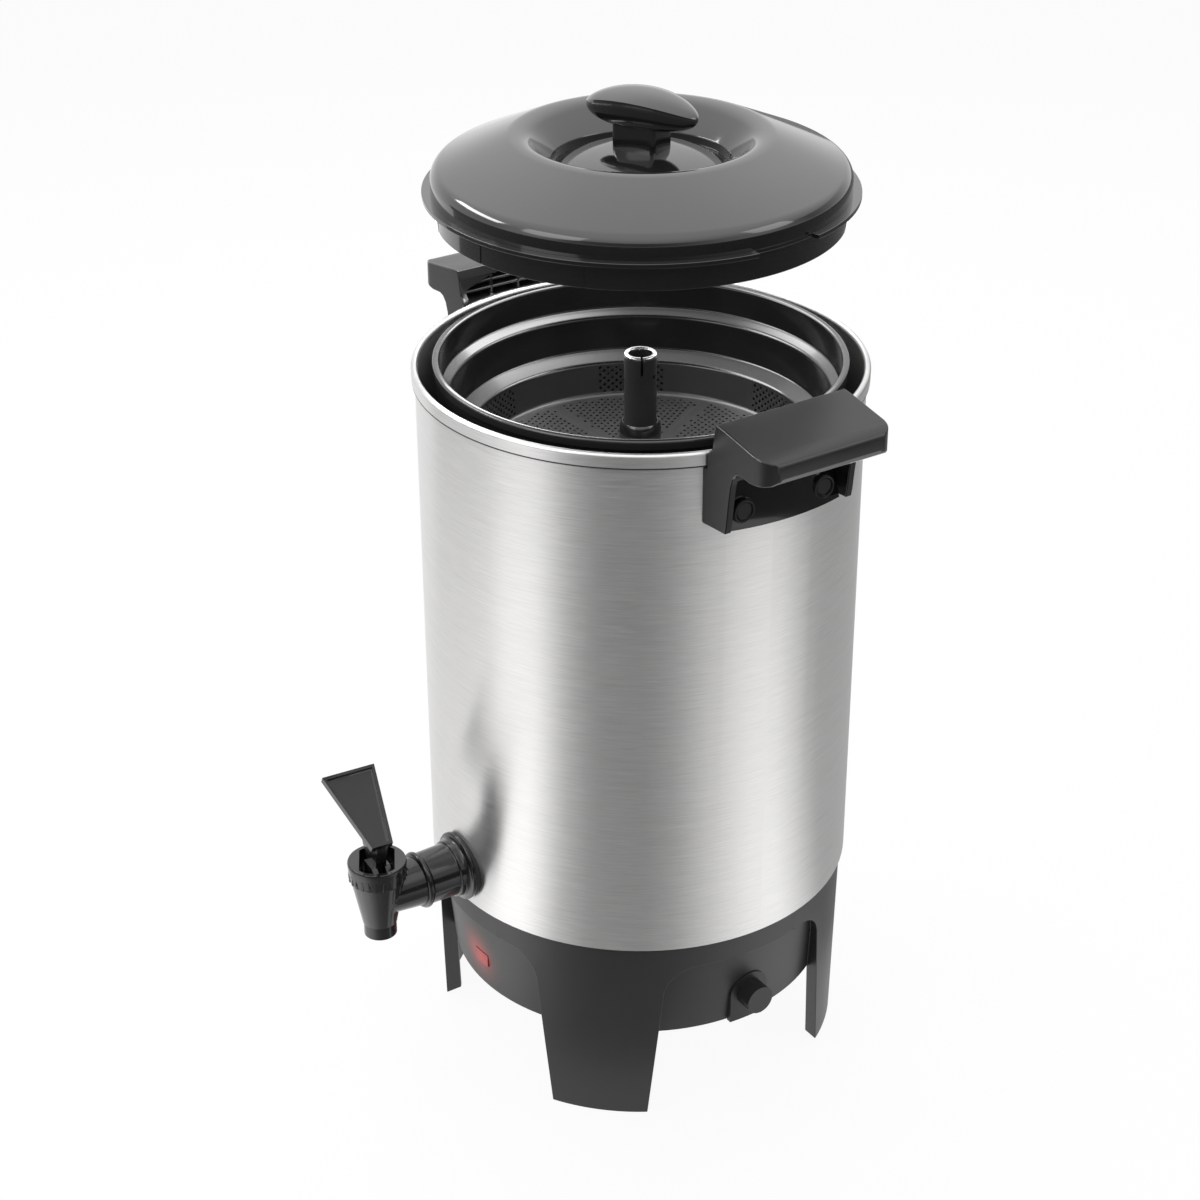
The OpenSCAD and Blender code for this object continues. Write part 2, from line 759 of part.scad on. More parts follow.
// Handle on the +X side
module handle() {
    pocket_half = handle_w / 2 - handle_wall;
    color("dimgray") difference() {
        union() {
            difference() {
                intersection() {
                    translate([tank_r, 0, handle_low]) rotate([90, 0, 0])
                        linear_extrude(height = handle_w, center = true)
                            polygon(reach_points(handle_shares, handle_reach, handle_h));
                    translate([tank_r - handle_depth, 0, handle_low - cut])
                        linear_extrude(height = handle_h + 2 * cut) union() {
                            translate([0, -handle_w / 2])
                                square([handle_depth + handle_reach - handle_corner, handle_w]);
                            translate([0, -handle_w / 2 + handle_corner])
                                square([handle_depth + handle_reach, handle_w - 2 * handle_corner]);
                            for (s = [-1, 1]) translate([handle_depth + handle_reach - handle_corner,
                                s * (handle_w / 2 - handle_corner)]) circle(r = handle_corner);
                        }
                }
                translate([0, -pocket_half, handle_low - cut])
                    intersection() {
                        cube([2 * tank_r, 2 * pocket_half, recess_top_share * handle_h + cut]);
                        translate([0, pocket_half, 0]) difference() {
                            cylinder(r = 2 * tank_r, h = handle_h);
                            cylinder(r = recess_r, h = handle_h);
                        }
                    }
                handle_pocket(pocket_half);
            }
            for (s = [-1, 1]) translate([tank_r - handle_wall, s * screw_off,
                handle_low + screw_up_share * handle_h]) rotate([0, 90, 0])
                    cylinder(r = boss_pad_r, h = handle_wall + boss_face_u - tank_r);
            intersection() {
                handle_pocket(pocket_half + run);
                translate([tank_r + bead_clear + bead_out, 0, handle_low]) {
                    for (s = rib_shares) translate([0, -handle_w / 2, s * handle_h])
                        cube([handle_reach, handle_w, rib_t]);
                    for (i = [-1:2 / rib_count:1])
                        translate([0, i * pocket_half / 2 - rib_t / 2, 0])
                            cube([handle_reach, rib_t, handle_h]);
                }
            }
        }
        translate([0, 0, handle_low - cut]) cylinder(r = tank_r + run, h = handle_h);
        translate([0, 0, rim_h - bead_h - bead_clear])
            cylinder(r = bead_r + bead_clear, h = handle_h);
        for (s = [-1, 1])
            translate([0, s * screw_off, handle_low + screw_up_share * handle_h])
                rotate([0, 90, 0]) {
                    cylinder(r = handle_screw_r + run, h = 2 * tank_r);
                    translate([0, 0, boss_face_u - head_sink - handle_head_t - run])
                        cylinder(r = handle_head_r + slip, h = handle_reach);
                }
    }
}

// Hollow under the grip, open towards the tank
module handle_pocket(half_w) {
    intersection() {
        translate([tank_r, 0, handle_low]) rotate([90, 0, 0])
            linear_extrude(height = 2 * half_w, center = true)
                polygon(reach_points(pocket_shares, handle_reach, handle_h));
        translate([0, 0, handle_low + pocket_arch_share * handle_h - pocket_arch_r])
            rotate([0, 90, 0]) cylinder(r = pocket_arch_r, h = 2 * tank_r);
    }
}

module handle_right() {
    handle();
}

module handle_left() {
    rotate([0, 0, 180]) handle();
}

module at_handle_screws() {
    for (side = [0, 180], s = [-1, 1]) rotate([0, 0, side])
        translate([0, s * screw_off, handle_low + screw_up_share * handle_h])
            rotate([0, 90, 0]) children();
}

module handle_screws() {
    head_u = boss_face_u - head_sink - handle_head_t;
    color("silver") at_handle_screws() {
        translate([0, 0, tank_in_r - screw_off / 4 - 2 * handle_nut_t])
            cylinder(r = handle_screw_r, h = head_u + handle_head_t - tank_in_r + screw_off / 4
                + 2 * handle_nut_t - handle_head_t / 2);
        translate([0, 0, head_u]) cylinder(r = handle_head_r, h = handle_head_t);
    }
}

module handle_nuts() {
    nut_u = sqrt(tank_in_r * tank_in_r - (screw_off + handle_nut_r) * (screw_off + handle_nut_r));
    color("silver") at_handle_screws() translate([0, 0, nut_u - handle_nut_t - run]) difference() {
        cylinder(r = handle_nut_r, h = handle_nut_t, $fn = 6);
        translate([0, 0, -cut]) cylinder(r = handle_screw_r + run, h = handle_nut_t + 2 * cut);
    }
}

module tap_gasket() {
    color("black") difference() {
        along_tap() translate([0, 0, tank_r - gasket_t - cut])
            ring(gasket_r, wall_hole_r, 2 * gasket_t + cut - run);
        cylinder(r = tank_r, h = rim_h, $fn = fine);
    }
}

module tap_shank() {
    hub_end_u = flange_u + tap_flange_t + flare_r + hub_l;
    color("black") along_tap() difference() {
        rotate_extrude() union() {
            polygon(concat(
                [[0, inner_face_u - tail_l], [tail_r, inner_face_u - tail_l], [tail_r, flange_u],
                 [tap_flange_r, flange_u], [tap_flange_r, flange_u + tap_flange_t - flange_bevel]],
                arc(tap_flange_r - flange_bevel, flange_u + tap_flange_t + flare_r, flare_r, 270, 180, 6),
                [[shank_r + hub_out, hub_end_u], [shank_r, hub_end_u + flange_bevel],
                 [shank_r - seat, shank_end_u], [0, shank_end_u]]));
        }
        cylinder(r = tap_bore_r, h = valve_u);
        translate([0, 0, shank_end_u - spigot_l - seat]) cylinder(r = spigot_r + run, h = valve_u);
    }
}

module tap_washer() {
    u = sqrt(tank_in_r * tank_in_r - tap_washer_r * tap_washer_r) - tap_washer_t - run;
    color("darkred") intersection() {
        along_tap() translate([0, 0, u]) ring(tap_washer_r, tail_r + run, 3 * tap_washer_t);
        cylinder(r = tank_in_r - run, h = rim_h, $fn = fine);
    }
}

module tap_nut() {
    u = sqrt(tank_in_r * tank_in_r - tap_washer_r * tap_washer_r) - tap_washer_t - 2 * run - tap_nut_t;
    color("black") along_tap() translate([0, 0, u]) difference() {
        cylinder(r = tap_nut_r, h = tap_nut_t, $fn = 6);
        translate([0, 0, -cut]) cylinder(r = tail_r + run, h = tap_nut_t + 2 * cut);
    }
}

module tap_ring() {
    color("black") along_tap() translate([0, 0, shank_end_u + run]) rotate_extrude() polygon(concat(
        [[spigot_r + run, 0]],
        arc(tap_ring_r - tap_ring_w / 2, tap_ring_w / 2, tap_ring_w / 2, -90, 90, 8),
        [[spigot_r + run, tap_ring_w]]));
}

// Radius of the valve body's outside at a height
function body_at(z) = body_low_r
    + (body_top_r - body_low_r) * (z - spout_z - spout_l) / (body_top_z - spout_z - spout_l);

module valve_body() {
    ring_end = shank_end_u + tap_ring_w + 2 * run;
    counter_z = body_top_z - counter_h;
    color("black") difference() {
        union() {
            at_valve() rotate_extrude() polygon([[0, spout_z], [spout_r, spout_z],
                [spout_r, spout_z + spout_l], [body_low_r, spout_z + spout_l],
                [body_top_r, body_top_z], [0, body_top_z]]);
            along_tap() translate([0, 0, ring_end])
                cylinder(r1 = neck_r, r2 = neck_end_r, h = valve_u - ring_end);
            along_tap() translate([0, 0, shank_end_u - spigot_l])
                cylinder(r = spigot_r, h = ring_end - shank_end_u + spigot_l + cut);
        }
        at_valve() rotate_extrude() polygon([
            [0, spout_z - cut], [spout_bore_r, spout_z - cut], [spout_bore_r, seat_z],
            [body_at(seat_z) - body_wall, seat_z], [body_at(counter_z) - body_wall, counter_z],
            [counter_r, counter_z], [counter_r, body_top_z + cut], [0, body_top_z + cut]]);
        at_valve() translate([0, 0, body_top_z])
            ring(bonnet_r + neck_top_gap, counter_r - cut, neck_r);
        along_tap() translate([0, 0, shank_end_u - spigot_l - cut])
            cylinder(r = tap_bore_r, h = valve_u - shank_end_u + spigot_l - stem_r);
    }
}

module bonnet() {
    in_r = bonnet_r - bonnet_wall;
    floor_low = bonnet_floor_z - bonnet_floor_t;
    color("black") at_valve() difference() {
        union() {
            rotate_extrude() polygon([
                [0, floor_low], [counter_r - seat, floor_low], [counter_r - seat, body_top_z + run],
                [bonnet_r - bonnet_draft, body_top_z + run], [bonnet_r, bonnet_top_z - bonnet_edge_h],
                [bonnet_r - bonnet_edge, bonnet_top_z], [0, bonnet_top_z]]);
            for (i = [0:grip_ribs - 1]) rotate([0, 0, i * 360 / grip_ribs])
                translate([in_r, -grip_rib_w / 2, body_top_z + run])
                    cube([bonnet_wall - bonnet_draft + grip_rib_out, grip_rib_w, grip_rib_h]);
        }
        translate([0, 0, bonnet_floor_z])
            cylinder(r = in_r, h = bonnet_top_z - bonnet_floor_z - bonnet_top_t);
        translate([0, 0, floor_low - cut]) cylinder(r = stem_r + seat, h = bonnet_h * 2);
        heading(slot_turn) intersection() {
            translate([-slot_end_r, -slot_w / 2, bonnet_floor_z])
                cube([2 * slot_end_r, slot_w, bonnet_h * 2]);
            translate([0, 0, bonnet_floor_z]) cylinder(r = slot_end_r, h = bonnet_h * 2);
        }
    }
}

// Coil swept with flat-ended rings, squeezed as the stem rises
module stem_spring() {
    n = spring_turns * spring_steps;
    pts = [for (i = [0:n], j = [0:spring_sides - 1])
        let (a = i * 360 / spring_steps, b = j * 360 / spring_sides,
             r = spring_r + spring_wire * cos(b),
             z = spring_low + (spring_high - spring_low) * i / n + spring_wire * sin(b))
        [r * cos(a), r * sin(a), z]];
    sides = [for (i = [0:n - 1], j = [0:spring_sides - 1])
        let (k = (j + 1) % spring_sides, p = i * spring_sides)
        [p + j, p + spring_sides + j, p + spring_sides + k, p + k]];
    ends = [[for (j = [0:spring_sides - 1]) j],
        [for (j = [spring_sides - 1:-1:0]) n * spring_sides + j]];
    color("silver") at_valve() polyhedron(points = pts, faces = concat(sides, ends));
}

module valve_stem() {
    color("black") at_valve() difference() {
        union() {
            translate([0, 0, stem_low]) cylinder(r = stem_r, h = stem_end - stem_low);
            heading(lever_turn) translate([-tang_w / 2, -tang_t / 2, stem_end - tang_w / 2])
                cube([tang_w, tang_t, pin_z + tang_top - stem_end + tang_w / 2]);
        }
        heading(lever_turn) translate([0, 0, pin_z]) rotate([90, 0, 0])
            cylinder(r = pin_r + run, h = tang_w * 2, center = true);
    }
}

module seat_cup() {
    color("white") at_valve() rotate_extrude() polygon([
        [stem_r + run, cup_low + cup_wall], [stem_r + run, cup_low + cup_h],
        [cup_top_r, cup_low + cup_h], [cup_top_r, cup_low + cup_h / 2],
        [cup_r, cup_low + cup_wall], [cup_r, cup_low], [cup_r - cup_wall, cup_low]]);
}

// Frame of the lever: origin on its pin, +X the way it swings
module at_lever() {
    at_valve() translate([0, 0, pin_z]) heading(lever_turn) children();
}

// Involute of the cam: lifts the pin by cam_rate for each radian of swing
function cam_point(a) = let (h = cam_floor + cam_rate * a * PI / 180)
    [h * sin(a) + cam_rate * cos(a), -h * cos(a) + cam_rate * sin(a)];

module lever() {
    root = [paddle_root_x, paddle_root_h];
    tip = root + paddle_l * [-sin(paddle_lean), cos(paddle_lean)];
    under = paddle_t * [cos(paddle_lean), sin(paddle_lean)];
    back = root - under + (paddle_root_x + web_back) / sin(paddle_lean) * [-sin(paddle_lean), cos(paddle_lean)];
    cam = [for (i = [0:cam_steps]) cam_point(lever_swing * i / cam_steps)];
    color("black") at_lever() difference() {
        union() {
            rotate([90, 0, 0]) linear_extrude(height = foot_w, center = true) polygon(concat(
                [[-heel, -cam_floor]], cam,
                [[heel + heel_out, pin_h / 3], [heel, pin_h / 2], [-heel, pin_h / 2]]));
            rotate([90, 0, 0]) linear_extrude(height = web_t_lever, center = true) polygon([
                [-heel, 0], [heel, 0], [heel + heel_out, pin_h],
                [paddle_root_x - heel_out, paddle_root_h - paddle_t],
                root - under / 2, back + under / 2, back,
                [-web_back, pin_h * 1.5], [-heel - heel_out, pin_h / 3]]);
            translate([paddle_root_x, 0, paddle_root_h]) rotate([0, -paddle_lean, 0])
                translate([-paddle_t, 0, 0]) paddle();
        }
        translate([-heel - cut - web_back, -tang_t / 2 - cheek_gap, -pin_h - cut])
            cube([2 * (heel + cut + web_back), tang_t + 2 * cheek_gap, pin_h + cut + tang_top + notch_over]);
        rotate([90, 0, 0]) cylinder(r = pin_r, h = foot_w * 2, center = true);
    }
}

// Flat paddle drawn upright, its face towards +X
module paddle() {
    difference() {
        rotate([90, 0, 90]) linear_extrude(height = paddle_t) polygon([
            [-paddle_root_w / 2, 0], [paddle_root_w / 2, 0],
            [paddle_w / 2, paddle_l], [-paddle_w / 2, paddle_l]]);
        translate([paddle_t - paddle_recess, 0, 0]) rotate([90, 0, 90])
            linear_extrude(height = paddle_t) polygon([
                [-paddle_root_w / 2 + paddle_rim, paddle_rim], [paddle_root_w / 2 - paddle_rim, paddle_rim],
                [paddle_w / 2 - paddle_rim, paddle_l - paddle_rim],
                [-paddle_w / 2 + paddle_rim, paddle_l - paddle_rim]]);
    }
}

module lever_pin() {
    color("silver") at_lever() rotate([90, 0, 0])
        cylinder(r = pin_r, h = foot_w, center = true);
}

module perk_tube() {
    color("dimgray") difference() {
        union() {
            translate([0, 0, stub_low]) cylinder(r = tube_r, h = tube_top - stub_low - tip_h / 2);
            translate([0, 0, stub_low]) cylinder(r = stub_flange_r, h = stub_flange_t);
            translate([0, 0, stop_top - stop_h]) cylinder(r1 = tube_r, r2 = tube_r + stop_out, h = stop_h);
        }
        translate([0, 0, stub_low - cut]) cylinder(r = tube_bore_r, h = tube_top);
        heading(slot_turn) translate([tube_bore_r - cut, -tip_slit_w / 2, tube_top - tip_slit_h])
            cube([tube_r, tip_slit_w, tip_slit_h]);
        heading(vent_hole_turn) translate([0, 0, tube_top - vent_hole_drop])
            rotate([0, 90, 0]) cylinder(r = vent_hole_r, h = tube_r + cut);
    }
}

module tube_tip() {
    color("silver") translate([0, 0, tube_top - tip_h / 2 + run]) difference() {
        rotate_extrude() polygon(concat(
            [[tube_bore_r - tube_wall, 0]],
            [[tube_r + tip_out, 0]],
            arc(tube_r + tip_out - tip_h / 4, tip_h / 4, tip_h / 4, 0, 90, 4),
            arc(tube_bore_r - tube_wall + tip_h / 4, tip_h / 4, tip_h / 4, 90, 180, 4)));
        heading(slot_turn) translate([0, -tip_slit_w / 2, -cut])
            cube([2 * tube_r, tip_slit_w, tip_h + cut]);
    }
}

module tube_foot() {
    bell_z = washer_z + washer_travel + washer_t + slip;
    color("silver") difference() {
        rotate_extrude() polygon([
            [foot_r, foot_low], [foot_r, foot_low + foot_skirt_h],
            [washer_r + bell_room, bell_z + foot_wall], [tube_r + bell_neck_out, bell_z + foot_wall],
            [tube_r + bell_collar, foot_low + foot_h], [tube_r + run, foot_low + foot_h],
            [tube_r + run, bell_z], [washer_r + bell_room, bell_z],
            [foot_r - foot_wall, foot_low + foot_skirt_h], [foot_r - foot_wall, foot_low]]);
        for (i = [0:foot_ports - 1]) rotate([0, 0, i * 360 / foot_ports])
            translate([foot_r - 2 * foot_port_r, 0, 0])
                rotate([0, 90, 0]) translate([-foot_low, 0, 0]) cylinder(r = foot_port_r, h = foot_r);
    }
}

module pump_washer() {
    color("silver") translate([0, 0, washer_z]) ring(washer_r, tube_r + slip, washer_t);
}

module basket() {
    floor_low = basket_floor_z - basket_floor_t;
    color("black") union() {
        difference() {
            rotate_extrude() polygon([
                [basket_in_r, basket_top], [basket_r, basket_top], [basket_r, basket_top - basket_rim_t],
                [basket_in_r + basket_wall, basket_top - basket_rim_t - basket_wall],
                [basket_in_r + basket_wall, ledge_a_z - basket_wall],
                [tier_b_r + basket_wall, ledge_a_z - basket_wall],
                [tier_b_r - tier_draft + basket_wall, ledge_b_z - basket_wall],
                [tier_c_r + basket_wall, ledge_b_z - basket_wall],
                [basket_floor_r + basket_wall, floor_low], [basket_floor_r - basket_wall, floor_low],
                [basket_floor_r - basket_wall, basket_floor_z], [basket_floor_r, basket_floor_z],
                [tier_c_r, ledge_b_z], [tier_b_r - tier_draft, ledge_b_z],
                [tier_b_r, ledge_a_z], [basket_in_r, ledge_a_z]]);
            basket_wall_holes();
        }
        translate([0, 0, floor_low]) linear_extrude(height = basket_floor_t) difference() {
            circle(r = basket_floor_r - basket_wall / 2);
            circle(r = hub_in_r);
            basket_floor_holes();
        }
        rotate_extrude() polygon([
            [hub_in_r, floor_low - hub_low], [hub_r, floor_low - hub_low],
            [hub_r + basket_wall, basket_floor_z], [hub_r, basket_floor_z + hub_low],
            [hub_r, basket_floor_z + hub_h], [hub_in_r, basket_floor_z + hub_h]]);
    }
}

// Rows of holes that fill each sector between two plain spokes
module basket_floor_holes() {
    rows = floor((basket_floor_r - floor_edge - hub_r - floor_hub_edge) / hole_pitch);
    for (k = [0:floor_sector_count - 1]) rotate((k + 0.5) * 360 / floor_sector_count)
        for (i = [0:rows]) let (
            r = hub_r + floor_hub_edge + i * hole_pitch,
            half = r * tan(180 / floor_sector_count) - floor_rib_w / 2,
            n = floor(half / hole_pitch))
            if (half > 0) for (j = [-n:n])
                translate([r, j * hole_pitch]) circle(r = hole_d / 2, $fn = 16);
}

module basket_wall_holes() {
    for (k = [0:floor_sector_count - 1], i = [0:wall_hole_rows - 1], j = [0:wall_holes - 1])
        rotate([0, 0, k * 360 / floor_sector_count + (j - (wall_holes - 1) / 2 + i / 2) * wall_hole_turn])
            translate([basket_floor_r - basket_wall, 0, basket_floor_z + wall_hole_pitch * (i + 1)])
                rotate([0, 90, 0]) cylinder(r = hole_d / 2, h = ledge_b_w, $fn = 16);
}

module lid_cover() {
    color("black") translate([0, 0, lid_z]) difference() {
        rotate_extrude() polygon(concat(lid_path(0), [for (i = [len(lid_path(lid_wall)) - 1:-1:0])
            lid_path(lid_wall)[i]]));
        cylinder(r = knob_screw_r + run, h = grip_tip_h);
    }
}

module lid_ring() {
    color("black") translate([0, 0, lid_z]) difference() {
        rotate_extrude() polygon([
            [flange_r, 0], [flange_r, flange_t - run], [dome_r - lid_wall - snap_r, flange_t - run],
            [dome_r - lid_wall - snap_r, flange_t * 2], [skirt_r - 2 * skirt_wall, flange_t * 2],
            [skirt_r - skirt_wall, -skirt_step], [skirt_r - skirt_wall, -skirt_depth],
            [skirt_r, -skirt_depth], [skirt_r, 0]]);
        for (side = [0, 180]) heading(notch_turn + side) rotate([0, 0, -notch_a / 2])
            translate([0, 0, -run]) rotate_extrude(angle = notch_a)
                translate([flange_r - notch_depth + seat, 0]) square([notch_depth + cut, flange_t]);
        for (a = mark_turns) heading(a)
            translate([skirt_r - mark_deep, -mark_w / 2, -skirt_depth - cut])
                cube([flange_r, mark_w, skirt_depth + cut]);
    }
}

// Closed outline of two bows joined by round tips, with its tips on the X axis
function bow_outline(half, tip, up, down, n) = let (
        x = half - tip,
        u = (x * x - (up - tip) * (up - tip)) / (2 * (up - tip)),
        v = (x * x - (down - tip) * (down - tip)) / (2 * (down - tip)),
        a = atan2(u, x),
        b = atan2(v, x))
    concat(arc(x, 0, tip, -b, a, 6), arc(0, -u, u + up, a, 180 - a, n),
        arc(-x, 0, tip, 180 - a, 180 + b, 6), arc(0, v, v + down, 180 + b, 360 - b, n));

module lid_knob() {
    color("black") translate([0, 0, lid_z]) heading(grip_turn) difference() {
        union() {
            intersection() {
                linear_extrude(height = 2 * grip_top_h)
                    polygon(bow_outline(grip_half, grip_tip_plan_r, grip_half_w, grip_half_w, 16));
                rotate([90, 0, 0]) linear_extrude(height = 4 * grip_half_w, center = true)
                    translate([0, grip_tip_h]) polygon(bow_outline(grip_half, grip_tip_r,
                        grip_top_h - grip_tip_h, grip_tip_h - grip_low_h, 20));
                translate([0, 0, grip_top_h - grip_round_r]) rotate([0, 90, 0])
                    cylinder(r = grip_round_r, h = 2 * grip_half, center = true);
            }
            translate([0, 0, cone_top_h + run]) linear_extrude(height = grip_tip_h - cone_top_h) union() {
                square([post_l, post_w - 2 * post_corner], center = true);
                square([post_l - 2 * post_corner, post_w], center = true);
                for (x = [-1, 1], y = [-1, 1]) translate([x * (post_l / 2 - post_corner),
                    y * (post_w / 2 - post_corner)]) circle(r = post_corner);
            }
        }
        translate([0, 0, cone_top_h - cut]) cylinder(r = knob_screw_r + knob_pilot_gap, h = knob_screw_l);
    }
}

module knob_screw() {
    low = cone_under(lid_wall);
    color("silver") translate([0, 0, lid_z + low - run]) {
        cylinder(r = knob_screw_r, h = knob_screw_l - cut);
        translate([0, 0, -knob_head_t]) cylinder(r = knob_head_r, h = knob_head_t);
    }
}

tank_shell();
tank_floor();
base();
bottom_cover();
cover_screws();
heater_plate();
heating_element();
thermostat();
thermal_fuse();
terminal_block();
light_lens();
light_lamp();
cord_gland();
handle_left();
handle_right();
handle_screws();
handle_nuts();
tap_gasket();
tap_shank();
tap_washer();
tap_nut();
tap_ring();
valve_body();
bonnet();
stem_spring();
valve_stem();
seat_cup();
lever();
lever_pin();
perk_tube();
tube_tip();
tube_foot();
pump_washer();
basket();
lid_ring();
lid_cover();
lid_knob();
knob_screw();
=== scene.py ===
import math
import bpy
import bmesh
from mathutils import Matrix, Vector


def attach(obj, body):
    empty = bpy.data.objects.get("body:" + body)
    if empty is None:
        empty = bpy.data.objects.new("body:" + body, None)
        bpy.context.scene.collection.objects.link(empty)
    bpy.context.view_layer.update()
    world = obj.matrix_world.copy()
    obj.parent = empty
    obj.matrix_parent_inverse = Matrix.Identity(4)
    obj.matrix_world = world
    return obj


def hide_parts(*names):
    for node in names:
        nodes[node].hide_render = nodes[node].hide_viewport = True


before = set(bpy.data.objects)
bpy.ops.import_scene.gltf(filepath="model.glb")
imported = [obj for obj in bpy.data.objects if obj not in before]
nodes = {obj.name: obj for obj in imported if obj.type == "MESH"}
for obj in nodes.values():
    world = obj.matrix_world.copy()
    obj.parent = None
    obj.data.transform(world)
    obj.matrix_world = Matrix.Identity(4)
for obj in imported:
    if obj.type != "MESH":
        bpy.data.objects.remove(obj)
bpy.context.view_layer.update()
mm = 0.001
tiny = 1e-6
smoothAngle = 35


# A shader number, so that sums on it add Math nodes
class Value:
    def __init__(self, finish, socket):
        self.finish = finish
        self.socket = socket

    def maths(self, operation, first, second):
        return self.finish.out("ShaderNodeMath", 0, {"operation": operation}, {0: first, 1: second})

    def __add__(self, other):
        return self.maths("ADD", self, other)

    def __mul__(self, other):
        return self.maths("MULTIPLY", self, other)

    def __truediv__(self, other):
        return self.maths("DIVIDE", self, other)

    def __rtruediv__(self, other):
        return self.maths("DIVIDE", other, self)

    def __pow__(self, other):
        return self.maths("POWER", self, other)

    def __rpow__(self, other):
        return self.maths("POWER", other, self)

    __radd__ = __add__
    __rmul__ = __mul__


# A material, or the world, and the nodes that it is built from
class Finish:
    def __init__(self, name, world=False):
        self.owner = bpy.data.worlds.new(name) if world else bpy.data.materials.new(name)
        self.owner.use_nodes = True
        self.tree = self.owner.node_tree
        self.surface = self.tree.nodes["Background" if world else "Principled BSDF"]

    def put(self, socket, value):
        if isinstance(value, Value):
            self.tree.links.new(value.socket, socket)
        else:
            socket.default_value = value

    def node(self, kind, settings=None, sockets=None):
        made = self.tree.nodes.new(kind)
        for name, value in (settings or {}).items():
            if name == "stops":
                ramp = made.color_ramp
                while len(ramp.elements) < len(value):
                    ramp.elements.new(0.5)
                for element, (place, colour) in zip(ramp.elements, value):
                    element.position = place
                    element.color = colour
            else:
                setattr(made, name, value)
        for name, value in (sockets or {}).items():
            self.put(made.inputs[name], value)
        return made

    def out(self, kind, output, settings=None, sockets=None):
        return Value(self, self.node(kind, settings, sockets).outputs[output])

    def where(self):
        return self.out("ShaderNodeTexCoord", "Object")

    def place(self, stretch=(1, 1, 1)):
        return self.out("ShaderNodeMapping", 0, {}, {"Vector": self.where(), "Scale": stretch})

    def part(self, axis):
        return self.out("ShaderNodeSeparateXYZ", axis, {}, {"Vector": self.where()})

    def away(self, spot):
        return self.out("ShaderNodeVectorMath", "Value", {"operation": "DISTANCE"},
                        {0: self.where(), 1: spot})

    def noise(self, where, scale, detail, rough):
        return self.out("ShaderNodeTexNoise", 0, {}, {"Vector": where, "Scale": scale, "Detail": detail,
                                                     "Roughness": rough})

    def ramp(self, factor, low, high):
        return self.out("ShaderNodeMapRange", 0, {}, {"Value": factor, "From Min": low, "From Max": high})

    def blend(self, factor, first, second):
        return self.out("ShaderNodeMix", 2, {"data_type": "RGBA"}, {0: factor, 6: first, 7: second})

    def bump(self, height, strength, distance):
        return self.out("ShaderNodeBump", 0, {}, {"Height": height, "Strength": strength,
                                                  "Distance": distance})

    def wear(self, *sockets):
        for name, value in sockets:
            self.put(self.surface.inputs[name], value)
        return self.owner

    def show(self, shader):
        self.put(self.tree.nodes["Material Output"].inputs["Surface"], shader)
        return self.owner


def grey(level, tint=(1, 1, 1)):
    return (level * tint[0], level * tint[1], level * tint[2], 1)


# Steel: fine streaks run round the tank, and its inside is darkened with painted shade
shellSteel = {
    "stretch": (70, 70, 2600), "fineNoise": (1.0, 4.0, 0.65), "broadStretch": (14, 14, 420),
    "broadNoise": (1.0, 2.0, 0.5), "smudgeNoise": (14, 3.0, 0.5), "streaks": (0.3, 0.7),
    "fineShare": 0.7, "dark": 0.56, "light": 0.74, "tint": (1, 0.995, 0.985), "rough": 0.27,
    "roughSpread": 0.1, "smudge": 0.05, "anisotropy": 0.8, "rotation": 0.25, "bump": 0.34,
    "depth": 0.05, "insideRadius": 99.3, "insideFade": 0.2, "insideShadeTone": 0.22}
plainSteel = dict(shellSteel, insideRadius=0)
innerSteel = dict(plainSteel, rough=0.34, anisotropy=0.4, dark=0.42, light=0.52, stretch=(40, 40, 700))
brightSteel = dict(plainSteel, rough=0.16, anisotropy=0.0, dark=0.6, light=0.72,
                   stretch=(900, 900, 900), bump=0.05)
castAluminium = dict(plainSteel, rough=0.38, anisotropy=0.0, dark=0.5, light=0.66,
                     stretch=(700, 700, 700))
# Near-black steel for the ring under the rim's step, painted shadow
stepShadowSteel = dict(plainSteel, dark=0.05, light=0.09, rough=0.5)


def brushedSteel(name, settings):
    f = Finish(name)
    fine = f.noise(f.place(settings["stretch"]), *settings["fineNoise"])
    broad = f.noise(f.place(settings["broadStretch"]), *settings["broadNoise"])
    smudge = f.noise(f.place(), *settings["smudgeNoise"])
    streak = f.ramp(fine, *settings["streaks"])
    colour = f.blend(streak * settings["fineShare"] + broad * (1 - settings["fineShare"]),
                     grey(settings["dark"], settings["tint"]), grey(settings["light"], settings["tint"]))
    rough = settings["rough"] + streak * settings["roughSpread"] + smudge * settings["smudge"]
    # Inside the tank's wall the colour fades to a dark tone, painted shade
    if settings["insideRadius"]:
        across = (f.part("X") ** 2 + f.part("Y") ** 2) ** 0.5
        edge = settings["insideRadius"] * mm
        inside = f.ramp(across, edge, edge - settings["insideFade"] * mm)
        colour = f.blend(inside, colour, grey(settings["insideShadeTone"]))
    return f.wear(("Base Color", colour), ("Metallic", 1.0), ("Roughness", rough),
                  ("Anisotropic", settings["anisotropy"]),
                  ("Anisotropic Rotation", settings["rotation"]),
                  ("Normal", f.bump(fine, settings["bump"], settings["depth"] * mm)))


